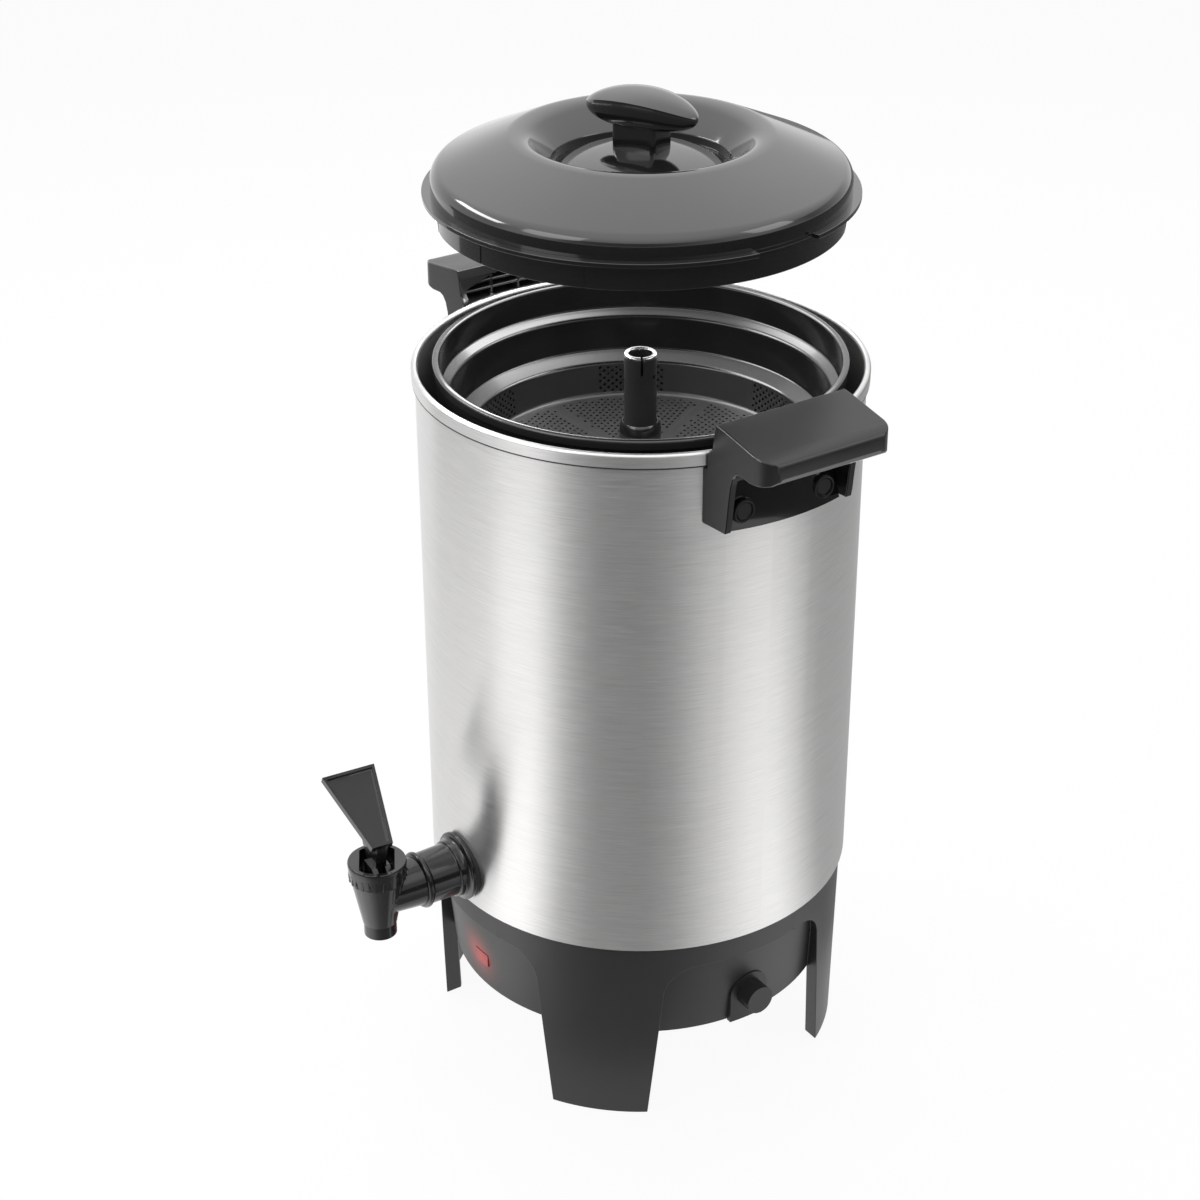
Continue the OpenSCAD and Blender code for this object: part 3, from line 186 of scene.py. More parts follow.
# Plastic: a fine grain, and clouds and marks that change the roughness
plasticBase = {
    "grainScale": 2600, "grainNoise": (2.0, 0.6), "cloudScale": 38, "cloudNoise": (3.0, 0.55),
    "markStretch": (160, 160, 900), "markNoise": (1.0, 3.0, 0.6), "cloudTones": (0.35, 0.65),
    "cloudRough": (0.3, 0.7), "markRange": (0.6, 0.8), "dark": 0.014, "light": 0.019,
    "tint": (1, 1, 1.03), "rough": 0.4, "roughSpread": 0.06, "markRough": 0.04, "grain": 1.0,
    "wave": 0.6, "coat": 0.0, "coatRough": 0.1, "specular": 0.5, "bump": 0.25, "depth": 0.08}
satin = dict(plasticBase, specular=0.38, rough=0.3, dark=0.010, light=0.014, grainScale=1900,
             bump=0.18)
gloss = dict(plasticBase, rough=0.1, roughSpread=0.03, markRough=0.03, dark=0.006, light=0.008,
             coat=0.6, coatRough=0.04, grainScale=600, cloudScale=22, bump=0.05, depth=0.06)
tapGloss = dict(plasticBase, rough=0.17, roughSpread=0.05, dark=0.005, light=0.007, coat=0.4,
                coatRough=0.04, specular=0.3, grainScale=900, bump=0.08)
# A darker copy of the gloss that reflects little: painted shade for the recess's fronts and the screws in
# it
recess = dict(gloss, rough=0.24, specular=0.14, coat=0.0, dark=0.004, light=0.006)
basketGloss = dict(plasticBase, rough=0.16, roughSpread=0.05, dark=0.012, light=0.016, coat=0.5,
                   coatRough=0.08, grainScale=700, bump=0.08, dullBelow=311.5, dullFade=1.0,
                   dullRough=0.22, paintedLightTone=0.035)
ivory = dict(plasticBase, dark=0.5, light=0.6, tint=(1, 0.93, 0.78))


def mouldedPlastic(name, settings):
    f = Finish(name)
    grain = f.noise(f.place(), settings["grainScale"], *settings["grainNoise"])
    cloud = f.noise(f.place(), settings["cloudScale"], *settings["cloudNoise"])
    mark = f.noise(f.place(settings["markStretch"]), *settings["markNoise"])
    colour = f.blend(f.ramp(cloud, *settings["cloudTones"]), grey(settings["dark"], settings["tint"]),
                     grey(settings["light"], settings["tint"]))
    rough = settings["rough"] + f.ramp(cloud, *settings["cloudRough"]) * settings["roughSpread"] \
        + f.ramp(mark, *settings["markRange"]) * settings["markRough"]
    # Below a height the plastic is rougher, and its colour is lighter: painted light on the basket's
    # floor and lowest wall
    if "dullBelow" in settings:
        edge = settings["dullBelow"] * mm
        low = f.ramp(f.part("Z"), edge, edge - settings["dullFade"] * mm)
        rough = rough + low * settings["dullRough"]
        colour = f.blend(low, colour, grey(settings["paintedLightTone"]))
    height = grain * settings["grain"] + cloud * settings["wave"]
    return f.wear(("Base Color", colour), ("Roughness", rough), ("Coat Weight", settings["coat"]),
                  ("Coat Roughness", settings["coatRough"]),
                  ("Specular IOR Level", settings["specular"]),
                  ("Normal", f.bump(height, settings["bump"], settings["depth"] * mm)))


# Point at a heading round the urn, in degrees from the tap; radius and height in millimetres
def headingPoint(turn, radius, height):
    a = math.radians(turn)
    return Vector((radius * math.sin(a) * mm, -radius * math.cos(a) * mm, height * mm))


# The base's plastic, with the lamp's red halo round the lens painted on it as glow
halo = dict(plasticBase, centre=headingPoint(0.2, 92.6, 60.4), reach=21, core=4, fall=2.2,
            colour=(0.62, 0.09, 0.07, 1), strength=0.36)


def glowPlastic(name, settings):
    f = Finish(name)
    # Near the lens the plastic glows red: painted light from the lamp
    near = f.ramp(f.away(settings["centre"]), settings["reach"] * mm, settings["core"] * mm)
    grain = f.noise(f.place(), settings["grainScale"], *settings["grainNoise"])
    cloud = f.noise(f.place(), settings["cloudScale"], *settings["cloudNoise"])
    glow = f.blend(near ** settings["fall"], grey(0), settings["colour"])
    return f.wear(("Base Color", f.blend(cloud, grey(settings["dark"]), grey(settings["light"]))),
                  ("Roughness", settings["rough"] + cloud * settings["roughSpread"]),
                  ("Emission Color", glow), ("Emission Strength", settings["strength"]),
                  ("Normal", f.bump(grain, settings["bump"], settings["depth"] * mm)))


# The red lens, brightest where its lamp stands
lens = {"hot": headingPoint(2.4, 92.6, 59.9), "reach": 6.5, "bandScale": 260.0, "bandWave": 0.4,
        "hotShare": 0.8, "edge": (0.13, 0.006, 0.005, 1), "middle": (0.33, 0.014, 0.011, 1),
        "strength": 0.55, "rough": 0.25, "roughSpread": 0.1, "coat": 0.15, "bump": 0.3, "depth": 0.2}


def lensPlastic(name, settings):
    f = Finish(name)
    facets = f.out("ShaderNodeTexWave", "Fac", {"wave_type": "BANDS", "bands_direction": "Z"},
                   {"Vector": f.place(), "Scale": settings["bandScale"],
                    "Distortion": settings["bandWave"]})
    heat = f.ramp(f.away(settings["hot"]), settings["reach"] * mm, 0.0)
    glow = f.blend(heat * settings["hotShare"] + facets * (1 - settings["hotShare"]),
                   settings["edge"], settings["middle"])
    return f.wear(("Base Color", glow), ("Coat Weight", settings["coat"]),
                  ("Roughness", settings["rough"] + facets * settings["roughSpread"]),
                  ("Emission Color", glow), ("Emission Strength", settings["strength"]),
                  ("Normal", f.bump(facets, settings["bump"], settings["depth"] * mm)))


finishes = {
    "shell": brushedSteel("shellSteel", shellSteel),
    "inner": brushedSteel("innerSteel", innerSteel),
    "bright": brushedSteel("brightSteel", brightSteel),
    "aluminium": brushedSteel("castAluminium", castAluminium),
    "stepShadow": brushedSteel("stepShadowSteel", stepShadowSteel),
    "satin": mouldedPlastic("handlePlastic", satin),
    "gloss": mouldedPlastic("lidPlastic", gloss),
    "tap": mouldedPlastic("tapPlastic", tapGloss),
    "recess": mouldedPlastic("recessShadePlastic", recess),
    "basket": mouldedPlastic("basketPlastic", basketGloss),
    "tube": mouldedPlastic("tubePlastic", dict(satin, rough=0.4, dark=0.03, light=0.042)),
    "ivory": mouldedPlastic("ivoryPlastic", ivory),
    "rubber": mouldedPlastic("sealRubber", dict(plasticBase, rough=0.62, dark=0.012, light=0.02)),
    "silicone": mouldedPlastic("seatSilicone", dict(plasticBase, rough=0.5, dark=0.6, light=0.7)),
    "glow": glowPlastic("paintedLampGlowPlastic", halo),
    "lens": lensPlastic("redLens", lens)}
print("finishes made")


def addObject(name, mesh):
    made = bpy.data.objects.new(name, mesh)
    bpy.context.scene.collection.objects.link(made)
    return made


def finishPiece(name, bm, finish, body, replaced=(), smooth=smoothAngle):
    mesh = bpy.data.meshes.new(name)
    bm.to_mesh(mesh)
    bm.free()
    piece = addObject(name, mesh)
    for face in mesh.polygons:
        face.use_smooth = True
    mesh.set_sharp_from_angle(angle=math.radians(smooth))
    mesh.materials.append(finishes[finish])
    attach(piece, body)
    if replaced:
        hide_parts(*replaced)
    return piece


# A rounded copy stands in for a node; lengths in millimetres, angles in degrees
copying = {"merge": 0.002, "flat": 0.05, "angle": 40, "segments": 3, "clamp": True, "smooth": 40}


def roundedCopy(node, settings, finish, body, reshape=None):
    settings = {**copying, **settings}
    bm = bmesh.new()
    bm.from_mesh(nodes[node].data)
    bmesh.ops.remove_doubles(bm, verts=bm.verts, dist=settings["merge"] * mm)
    bmesh.ops.dissolve_limit(bm, angle_limit=math.radians(settings["flat"]), verts=bm.verts,
                             edges=bm.edges, use_dissolve_boundaries=False)
    if reshape:
        reshape(bm, settings)
    least = math.radians(settings["angle"])
    sharp = [edge for edge in bm.edges if len(edge.link_faces) == 2 and edge.calc_face_angle(0) > least]
    bmesh.ops.bevel(bm, geom=sharp, offset=settings["width"] * mm, segments=settings["segments"],
                    profile=0.5, affect="EDGES", material=-1, clamp_overlap=settings["clamp"])
    bmesh.ops.triangulate(bm, faces=[face for face in bm.faces if len(face.verts) > 4])
    piece = finishPiece(node + "_round", bm, finish, body, (node,), settings["smooth"])
    weighted = piece.modifiers.new("weighted", "WEIGHTED_NORMAL")
    weighted.keep_sharp = True
    return piece


# A full turn of a profile; corners are (radius, height, bevel) in millimetres, from base up
turning = {"merge": 0.001, "near": 0.02, "segments": 4}


def turned(name, corners, steps, finish, body, replaced=(), base=0):
    bm = bmesh.new()
    verts = [bm.verts.new((r * mm, 0, (base + z) * mm)) for r, z, _ in corners]
    edges = [bm.edges.new(pair) for pair in zip(verts, verts[1:] + verts[:1])]
    bmesh.ops.spin(bm, geom=verts + edges, cent=(0, 0, 0), axis=(0, 0, 1), angle=math.tau, steps=steps,
                   use_merge=True, use_duplicate=False)
    bmesh.ops.remove_doubles(bm, verts=bm.verts, dist=turning["merge"] * mm)

    def onRing(vert, r, z):
        away = max(abs(math.hypot(vert.co.x, vert.co.y) - r * mm), abs(vert.co.z - (base + z) * mm))
        return away < turning["near"] * mm

    for r, z, width in corners:
        if width:
            ring = [edge for edge in bm.edges if all(onRing(vert, r, z) for vert in edge.verts)]
            bmesh.ops.bevel(bm, geom=ring, offset=width * mm, segments=turning["segments"] + round(width),
                            profile=0.5, affect="EDGES", material=-1, clamp_overlap=True)
    bmesh.ops.recalc_face_normals(bm, faces=bm.faces)
    return finishPiece(name, bm, finish, body, replaced)


# Lid: a dome with a dish, in which a crowned plate stands
lid = {"flange": 424.0, "steps": 160, "coneFoot": (37.5, 10), "coneTop": (14, 18.6), "coneArc": 54,
       "coneSteps": 9}


# Points of a crowned slope from its foot to its top, for turned
def crownedSlope(foot, top, radius, steps):
    foot, top = Vector(foot), Vector(top)
    half = (top - foot) / 2
    out = Vector((-half.y, half.x)).normalized()
    centre = foot + half + out * math.sqrt(radius ** 2 - half.length_squared)
    first = math.atan2(foot.y - centre.y, foot.x - centre.x)
    sweep = 2 * math.asin(half.length / radius)
    return [(centre.x + radius * math.cos(first + sweep * i / steps),
             centre.y + radius * math.sin(first + sweep * i / steps), 0) for i in range(steps + 1)]


lidCorners = [
    (90.2, 2, 0), (90.2, 10.96, 3.9), (51.59, 27.41, 6.6), (38.5, 13.7, 0.4), (38.5, 10, 0),
    *crownedSlope(lid["coneFoot"], lid["coneTop"], lid["coneArc"], lid["coneSteps"]),
    (0, 18.6, 0), (0, 16.42, 0), (13.74, 16.42, 0), (36.29, 8.17, 0), (40.7, 7.8, 0),
    (40.7, 12.83, 0), (51.6, 25.0, 4), (88, 9.4, 2.4), (88, 2, 0)]
turned("lidDome", lidCorners, lid["steps"], "gloss", "lid", ("lid_cover",), lid["flange"])
roundedCopy("lid_ring", {"width": 0.4}, "gloss", "lid")

# Grip: heights are above the lid's flange
knob = {"turn": 115.5, "half": 27.0, "halfWidth": 12.4, "tip": 35.2, "crease": 41.2, "crown": 3.6,
        "deep": 14.0, "widthPower": 1.25, "bowPower": 1.7, "edgePower": 2.8, "deepPower": 1.1,
        "bellyPower": 1.7, "around": 64, "along": 56, "postLength": 21, "postWidth": 16,
        "postCorner": 2.2, "postCornerSteps": 6, "postFoot": 18.5, "postHead": 36, "smooth": 42}


# A ball is drawn out to a bow-shaped grip with a crease round its edge, and a post stands under it
def lidGrip(settings):
    bm = bmesh.new()
    bmesh.ops.create_uvsphere(bm, u_segments=settings["around"], v_segments=settings["along"], radius=1,
                              matrix=Matrix.Rotation(math.pi / 2, 4, "Y"))
    for vert in bm.verts:
        along, side, lift = vert.co
        girth = math.sqrt(max(0, 1 - along ** 2))
        across = side / girth if girth > tiny else 0
        width = settings["halfWidth"] * girth ** settings["widthPower"]
        bow = (settings["crease"] - settings["tip"]) * girth ** settings["bowPower"]
        if lift >= -tiny:
            y = width * across
            z = settings["tip"] + bow + settings["crown"] * girth * (1 - across ** 2)
        else:
            down = 1 - abs(across)
            belly = 1 - (1 - down) ** settings["bellyPower"]
            y = width * math.copysign(1 - down ** settings["edgePower"], across)
            z = settings["tip"] + bow - settings["deep"] * girth ** settings["deepPower"] * belly
        vert.co = (settings["half"] * along, y, z)
    post = bmesh.ops.create_cube(bm, size=1)["verts"]
    tall = settings["postHead"] - settings["postFoot"]
    bmesh.ops.scale(bm, vec=(settings["postLength"], settings["postWidth"], tall), verts=post)
    bmesh.ops.translate(bm, vec=(0, 0, settings["postFoot"] + tall / 2), verts=post)
    upright = [edge for edge in bm.edges if edge.verts[0] in post and edge.verts[1] in post
               and abs(edge.verts[0].co.z - edge.verts[1].co.z) > settings["postCorner"]]
    bmesh.ops.bevel(bm, geom=upright, offset=settings["postCorner"],
                    segments=settings["postCornerSteps"], profile=0.5, affect="EDGES", material=-1)
    place = Matrix.Translation((0, 0, lid["flange"] * mm)) \
        @ Matrix.Rotation(math.radians(settings["turn"] - 90), 4, "Z") @ Matrix.Scale(mm, 4)
    bmesh.ops.transform(bm, matrix=place, verts=bm.verts)
    bmesh.ops.remove_doubles(bm, verts=bm.verts, dist=copying["merge"] * mm)
    bmesh.ops.recalc_face_normals(bm, faces=bm.faces)
    return finishPiece("lidGrip", bm, "gloss", "lid", ("lid_knob",), settings["smooth"])


lidGrip(knob)
print("lid made")

# Basket: plain spokes part the sectors of holes
basket = {"steps": 160, "sectors": 6, "floorR": 73.9, "floorLow": 294, "floorTop": 296, "hubR": 17,
          "edge": 4, "pitch": 3.0, "rib": 7.5, "holeR": 0.74, "holeSides": 6, "floorPeg": 4,
          "wallR": 75.5, "wallRows": 8, "wallPitch": 1.65, "wallColumns": 8, "columnTurn": 3.0,
          "wallFoot": 298.2, "wallPeg": 6}
basketCorners = [
    (7.8, 292.5, 0), (9.6, 292.5, 0), (11.4, 294, 0), (75.7, 294, 0), (77.3, 310.2, 0), (85.0, 310.2, 0),
    (85.8, 330.2, 0), (90.7, 330.2, 0), (90.7, 342.5, 0), (92.2, 344.3, 0), (92.2, 348.3, 1.1),
    (88.9, 348.3, 1.3), (88.9, 334.4, 0.8), (84.0, 332.0, 1.3), (83.2, 315.6, 0.8), (75.5, 312.0, 1.4),
    (73.9, 296, 2.2), (11.4, 296, 0), (9.6, 297.5, 0), (9.3, 314.0, 0), (8.0, 316, 0), (7.8, 316, 0)]


# Places of the floor's holes in one sector, as (radius, side step)
def floorSpots(settings):
    reach = settings["floorR"] - settings["edge"]
    half = math.tan(math.pi / settings["sectors"])
    for row in range(int((reach - settings["hubR"]) / settings["pitch"]) + 1):
        r = settings["hubR"] + row * settings["pitch"]
        count = int((r * half - settings["rib"] / 2) / settings["pitch"])
        for column in range(-count, count + 1):
            y = (column + row % 2 / 2) * settings["pitch"]
            if math.hypot(r, y) < reach:
                yield r, y


# Pegs that are cut out of the basket's floor and wall
def basketPegs(settings):
    bm = bmesh.new()
    size = settings["holeR"] * mm

    def peg(place, length):
        bmesh.ops.create_cone(bm, cap_ends=True, segments=settings["holeSides"], radius1=size,
                              radius2=size, depth=length * mm, matrix=place)

    middle = (settings["floorLow"] + settings["floorTop"]) / 2
    for sector in range(settings["sectors"]):
        facing = Matrix.Rotation(math.tau * (sector + 0.5) / settings["sectors"], 4, "Z")
        for r, y in floorSpots(settings):
            peg(facing @ Matrix.Translation((r * mm, y * mm, middle * mm)), settings["floorPeg"])
        for row in range(settings["wallRows"]):
            height = settings["wallFoot"] + row * settings["wallPitch"]
            spot = Matrix.Translation((settings["wallR"] * mm, 0, height * mm)) \
                @ Matrix.Rotation(math.pi / 2, 4, "Y")
            for column in range(settings["wallColumns"]):
                turn = (column + row % 2 / 2 - settings["wallColumns"] / 2) * settings["columnTurn"]
                peg(facing @ Matrix.Rotation(math.radians(turn), 4, "Z") @ spot, settings["wallPeg"])
    mesh = bpy.data.meshes.new("basketPegs")
    bm.to_mesh(mesh)
    bm.free()
    return addObject("basketPegs", mesh)


def perforate(piece, pegs):
    cut = piece.modifiers.new("holes", "BOOLEAN")
    cut.object = pegs
    cut.operation = "DIFFERENCE"
    cut.solver = "MANIFOLD"
    bpy.context.view_layer.update()
    cutMesh = bpy.data.meshes.new_from_object(piece.evaluated_get(bpy.context.evaluated_depsgraph_get()))
    piece.modifiers.clear()
    piece.data = cutMesh
    bpy.data.objects.remove(pegs)
    cutMesh.set_sharp_from_angle(angle=math.radians(smoothAngle))
    print("basket holes cut,", len(cutMesh.polygons), "faces")


basketShell = turned("basketShell", basketCorners, basket["steps"], "basket", "basket",
                     ("basket",))
perforate(basketShell, basketPegs(basket))
print("basket made")

# Rolled rim of the tank, and a near-black ring under its step, painted shadow of the step
roll = {"radius": 100.0, "height": 344.8, "thick": 1.56, "sides": 20, "steps": 192}
rollCorners = [(roll["radius"] + roll["thick"] * math.cos(math.tau * i / roll["sides"]),
                roll["height"] + roll["thick"] * math.sin(math.tau * i / roll["sides"]), 0)
               for i in range(roll["sides"])]
turned("rolledRim", rollCorners, roll["steps"], "shell", "urn")
rimShadowLine = {"inside": 99.9, "outside": 101.4, "low": 339.6, "high": 340.3, "steps": 160}
rimShadowLineCorners = [(rimShadowLine[side], rimShadowLine[level], 0) for side, level in (
    ("inside", "low"), ("outside", "low"), ("outside", "high"), ("inside", "high"))]
turned("rimShadowLine", rimShadowLineCorners, rimShadowLine["steps"], "stepShadow", "urn")
print("rim made")

# Handles: nose holds (distance from the axis, lift) pairs; slopes are parts of a face's normal
handle = {"width": 0.6, "angle": 42, "smooth": 50, "merge": 0.4, "clamp": False,
          "nose": [(107.5, 0), (113.2, -0.35), (122.4, -0.25), (128.4, 0.3), (133.7, 1.0), (136.1, 2.2),
                   (137.15, 3.2), (137.45, 0), (200, 0)],
          "noseLow": 348.0, "crease": 32.0, "creaseReach": (97.0, 135.0), "creaseSlope": (0.15, 0.97),
          "frontSlope": 0.6, "underSlope": -0.15, "insideHalf": 29.9, "insideTop": 342.5,
          "recessFront": 113.5}
scoop = {"low": 313.0, "high": 341.5, "foot": 110.2, "head": 105.75, "curve": 2.2, "thick": 0.35,
         "cells": (28, 14)}


# Lifts the rounded nose of a copied handle to a crisp front edge
def crispNose(bm, settings):
    for vert in bm.verts:
        x, z = abs(vert.co.x) / mm, vert.co.z / mm
        if z > settings["noseLow"]:
            for (x0, lift0), (x1, lift1) in zip(settings["nose"], settings["nose"][1:]):
                if x0 <= x < x1:
                    vert.co.z += (lift0 + (lift1 - lift0) * (x - x0) / (x1 - x0)) * mm


# The finger recess, the top's side edges and what faces down are polished; the recess's fronts take a
# darker, weakly reflecting copy, painted shade
def polishRecess(piece, settings):
    piece.data.materials.append(finishes["gloss"])
    piece.data.materials.append(finishes["recess"])
    near, far = settings["creaseReach"]
    lowSlope, highSlope = settings["creaseSlope"]
    for face in piece.data.polygons:
        x, y, z = (abs(value) / mm for value in face.center)
        inside = y < settings["insideHalf"] and x < settings["recessFront"] and z < settings["insideTop"]
        crease = y > settings["crease"] and near < x < far and lowSlope < face.normal.z < highSlope
        if inside or crease or face.normal.z < settings["underSlope"]:
            face.material_index = 1
        if abs(face.normal.x) > settings["frontSlope"] and z < scoop["high"]:
            face.material_index = 2


# A curved sheet that runs out from the recess's back wall to its lower lip
def recessScoop(name, settings, halfWidth, facing):
    bm = bmesh.new()
    across, up = settings["cells"]
    bmesh.ops.create_grid(bm, x_segments=across, y_segments=up, size=0.5)
    for vert in bm.verts:
        rise = vert.co.y + 0.5
        y = 2 * halfWidth * vert.co.x
        r = settings["head"] + (settings["foot"] - settings["head"]) * (1 - rise) ** settings["curve"]
        z = settings["low"] + (settings["high"] - settings["low"]) * rise
        vert.co = (facing * math.sqrt(r * r - y * y) * mm, facing * y * mm, z * mm)
    bmesh.ops.recalc_face_normals(bm, faces=bm.faces)
    bmesh.ops.solidify(bm, geom=bm.faces[:], thickness=settings["thick"] * mm)
    bmesh.ops.recalc_face_normals(bm, faces=bm.faces)
    return finishPiece(name, bm, "gloss", "urn")


for side, facing in (("left", -1), ("right", 1)):
    polishRecess(roundedCopy("handle_" + side, handle, "satin", "urn", crispNose), handle)
    recessScoop("recessScoop_" + side, scoop, handle["insideHalf"], facing)
print("handles made")

# Tap: the lever's faces are sunk within a rim
tap = {"width": 0.35, "angle": 38, "sinkShare": 0.75, "sinkRim": 1.1, "sinkDepth": 0.5}


def sinkPaddle(bm, settings):
    largest = max(face.calc_area() for face in bm.faces)
    paddle = [face for face in bm.faces if face.calc_area() > largest * settings["sinkShare"]]
    bmesh.ops.inset_individual(bm, faces=paddle, thickness=settings["sinkRim"] * mm,
                               depth=-settings["sinkDepth"] * mm, use_even_offset=True)


for node in ("tap_shank", "tap_ring", "valve_body", "bonnet"):
    roundedCopy(node, tap, "tap", "urn")
roundedCopy("lever", tap, "tap", "lever", sinkPaddle)
print("tap made")

# Base
base = {"width": 0.5, "merge": 0.2, "clamp": False}
roundedCopy("base", base, "glow", "urn")
print("base made")

# Finishes of the nodes that stay
nodeFinishes = {
    "tank_shell": "shell", "tank_floor": "inner", "bottom_cover": "inner", "cover_screws": "bright",
    "heater_plate": "aluminium", "heating_element": "inner", "thermostat": "ivory",
    "thermal_fuse": "ivory", "terminal_block": "ivory", "light_lens": "lens", "light_lamp": "lens",
    "cord_gland": "satin", "handle_screws": "recess", "handle_nuts": "bright", "tap_gasket": "rubber",
    "tap_washer": "rubber", "tap_nut": "satin", "stem_spring": "bright", "valve_stem": "satin",
    "seat_cup": "silicone", "lever_pin": "bright", "perk_tube": "tube", "tube_tip": "bright",
    "tube_foot": "aluminium", "pump_washer": "aluminium", "knob_screw": "bright"}
for node, finish in nodeFinishes.items():
    mesh = nodes[node].data
    mesh.materials.clear()
    mesh.materials.append(finishes[finish])
print("nodes dressed")

# Stage: the floor is near white to the camera and in mirrors, and keeps a faint shadow
stage = {"floorSize": 14.0, "floorWhite": 0.86, "whiteSpread": 0.02, "rough": 0.9,
         "grainNoise": (3.0, 2.0, 0.5), "share": 0.93, "cardSteps": 48}


# What the camera and the mirror-like surfaces see
def seenRays(f):
    path = f.node("ShaderNodeLightPath")
    camera, glossy, through = (Value(f, path.outputs[f"Is {ray} Ray"])
                               for ray in ("Camera", "Glossy", "Transmission"))
    return camera + glossy + through


def stageFinish(settings):
    f = Finish("paleFloor")
    white = f.out("ShaderNodeEmission", 0, {}, {"Color": grey(1), "Strength": 1.0})
    grain = f.noise(f.place(), *settings["grainNoise"])
    tones = [grey(settings["floorWhite"]), grey(settings["floorWhite"] + settings["whiteSpread"])]
    f.wear(("Base Color", f.blend(grain, *tones)), ("Roughness", settings["rough"]))
    return f.show(f.out("ShaderNodeMixShader", 0, {}, {
        0: seenRays(f) * settings["share"], 1: Value(f, f.surface.outputs[0]), 2: white}))


def stagePiece(name, bm, material):
    mesh = bpy.data.meshes.new(name)
    bm.to_mesh(mesh)
    bm.free()
    piece = addObject(name, mesh)
    mesh.materials.append(material)
    return piece


floorMesh = bmesh.new()
bmesh.ops.create_grid(floorMesh, x_segments=1, y_segments=1, size=stage["floorSize"] / 2)
stagePiece("floor", floorMesh, stageFinish(stage))


# A card round the urn, from its near to its far (radius, height) in metres, seen only in polish
def studioCard(name, settings):
    bm = bmesh.new()
    first = math.radians(settings["from"] - 90)
    edge = [bm.verts.new((radius * math.cos(first), radius * math.sin(first), height))
            for radius, height in (settings["near"], settings["far"])]
    edge.append(bm.edges.new(edge))
    sweep = math.radians(settings["to"] - settings["from"])
    bmesh.ops.spin(bm, geom=edge, cent=(0, 0, 0), axis=(0, 0, 1), angle=sweep, steps=stage["cardSteps"],
                   use_duplicate=False)
    f = Finish(name + "Paint")
    facing = f.out("ShaderNodeVectorRotate", 0, {"rotation_type": "Z_AXIS"},
                   {"Vector": f.where(), "Angle": -first - sweep / 2})
    x, y = (f.out("ShaderNodeSeparateXYZ", axis, {}, {"Vector": facing}) for axis in "XY")
    angle = f.out("ShaderNodeMath", 0, {"operation": "ARCTAN2"}, {0: y, 1: x})
    stops = [((turn - settings["from"]) / (settings["to"] - settings["from"]), grey(level))
             for turn, level in settings["tones"]]
    tone = f.out("ShaderNodeValToRGB", 0, {"stops": stops}, {"Fac": angle / sweep + 0.5})
    glow = f.out("ShaderNodeEmission", 0, {}, {"Color": tone, "Strength": settings["level"]})
    card = stagePiece(name, bm, f.show(glow))
    for ray in ("camera", "diffuse", "transmission", "volume_scatter", "shadow"):
        setattr(card, "visible_" + ray, False)


# Tones are shares of a card's level at headings round the urn, in degrees
tableTones = [(-40, 0.62), (-22, 0.72), (-14, 1.0), (4, 1.0), (20, 0.36), (34, 0.19), (58, 0.17),
              (72, 0.25), (92, 0.56), (108, 0.78), (122, 0.85), (136, 0.6), (152, 0.3), (200, 0.3),
              (230, 0.55)]
cards = {
    "tableCard": {"from": -60, "to": 240, "near": (0.13, 0.002), "far": (0.9, 0.002), "level": 1.75,
                  "tones": tableTones},
    "wallCard": {"from": -60, "to": 240, "near": (0.9, 0.002), "far": (0.9, 0.36), "level": 0.25,
                 "tones": [(-60, 1.0), (-20, 0.6), (20, 0.3), (120, 0.3), (180, 0.6), (240, 1.0)]},
    "upperCard": {"from": -60, "to": 200, "near": (0.9, 0.40), "far": (0.9, 0.75), "level": 1.3,
                  "tones": [(-60, 0.77), *tableTones[1:-2], (200, 0.77)]},
    "bounceCard": {"from": 150, "to": 322, "near": (0.06, 0.392), "far": (0.112, 0.392), "level": 10.0,
                   "tones": [(150, 0.0), (170, 0.25), (190, 0.4), (196, 1.0), (216, 1.0), (222, 0.12),
                             (238, 0.15), (250, 1.0), (290, 1.0), (310, 0.4), (322, 0.0)]}}
for name, settings in cards.items():
    studioCard(name, settings)

# The world is white to the camera, a fill to dull surfaces, and brighter overhead in polished ones
sky = {"low": 0.2, "high": 0.9, "horizon": 1.0, "overhead": 2.05, "fill": 0.4, "seen": 1.0}
f = Finish("studio", world=True)
rise = f.out("ShaderNodeSeparateXYZ", "Z", {}, {"Vector": f.out("ShaderNodeTexCoord", "Generated")})
mirrored = f.out("ShaderNodeMapRange", 0, {"interpolation_type": "SMOOTHSTEP"}, {
    "Value": rise, "From Min": sky["low"], "From Max": sky["high"], "To Min": sky["horizon"],
    "To Max": sky["overhead"]})
filled = f.out("ShaderNodeMix", 0, {}, {
    "Factor": f.out("ShaderNodeLightPath", "Is Diffuse Ray"), "A": mirrored, "B": sky["fill"]})
strength = f.out("ShaderNodeMix", 0, {}, {
    "Factor": f.out("ShaderNodeLightPath", "Is Camera Ray"), "A": filled, "B": sky["seen"]})
bpy.context.scene.world = f.wear(("Color", grey(1)), ("Strength", strength))

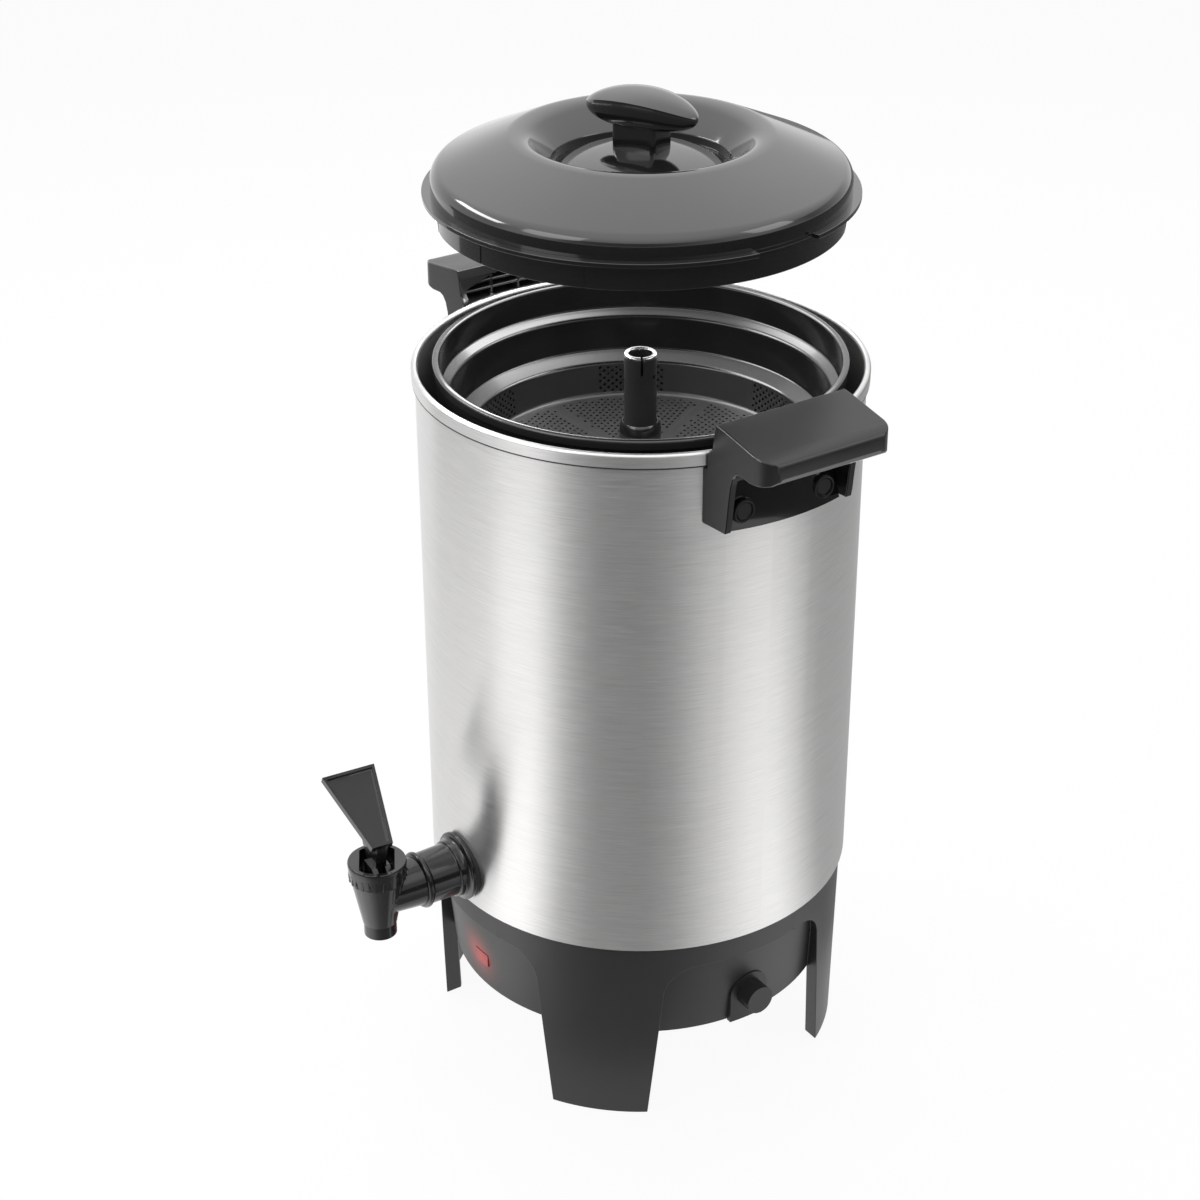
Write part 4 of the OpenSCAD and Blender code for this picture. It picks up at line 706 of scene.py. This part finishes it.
# Panels, in metres: level is what a panel's face shows, where 1 is white, and turn is its heading
lamps = {
    "tapPanel": {"turn": 8, "away": 0.85, "middle": 0.75, "size": (0.5, 0.55), "level": 2.4,
                 "mirrored": True},
    "rightPanel": {"turn": 128, "away": 0.85, "middle": 0.75, "size": (0.4, 0.55), "level": 2.0,
                   "mirrored": True},
    "keyPanel": {"turn": -46, "away": 1.0, "middle": 0.95, "size": (0.75, 0.18), "level": 11.0,
                 "mirrored": True},
    "backPanel": {"turn": 236, "away": 1.2, "middle": 1.0, "size": (1.1, 0.3), "level": 5.0,
                  "mirrored": False},
    "topPanel": {"turn": 236, "away": 0.35, "middle": 1.5, "size": (1.1, 1.1), "level": 2.3,
                 "mirrored": False}}
lampAim = Vector((0, 0, 0.4))
for name, lamp in lamps.items():
    light = bpy.data.lights.new(name, "AREA")
    light.shape = "RECTANGLE"
    light.size, light.size_y = lamp["size"]
    light.energy = lamp["level"] * math.pi * light.size * light.size_y
    holder = addObject(name, light)
    holder.location = headingPoint(lamp["turn"], lamp["away"] / mm, lamp["middle"] / mm)
    holder.rotation_euler = (lampAim - holder.location).to_track_quat("-Z", "Y").to_euler()
    holder.visible_camera = False
    holder.visible_glossy = lamp["mirrored"]
print("stage lit")

# Camera: the photograph's place, direction and lens
view = {"at": (0.85410, -0.58093, 0.78673), "to": (-0.01003, -0.01533, 0.22419), "roll": -0.2039,
        "lens": 75.83, "sensor": 36, "near": 0.05, "far": 40}
camera = bpy.data.cameras.new("camera")
camera.lens = view["lens"]
camera.sensor_width = view["sensor"]
camera.sensor_fit = "HORIZONTAL"
camera.clip_start = view["near"]
camera.clip_end = view["far"]
holder = addObject("camera", camera)
ahead = (Vector(view["to"]) - Vector(view["at"])).normalized()
right = ahead.cross(Vector((0, 0, 1))).normalized()
up = right.cross(ahead)
turn = math.radians(view["roll"])
right, up = right * math.cos(turn) + up * math.sin(turn), up * math.cos(turn) - right * math.sin(turn)
holder.matrix_world = Matrix.Translation(view["at"]) @ Matrix((right, up, -ahead)).transposed().to_4x4()
bpy.context.scene.camera = holder
bpy.context.scene.view_settings.view_transform = "Standard"
print("camera set")
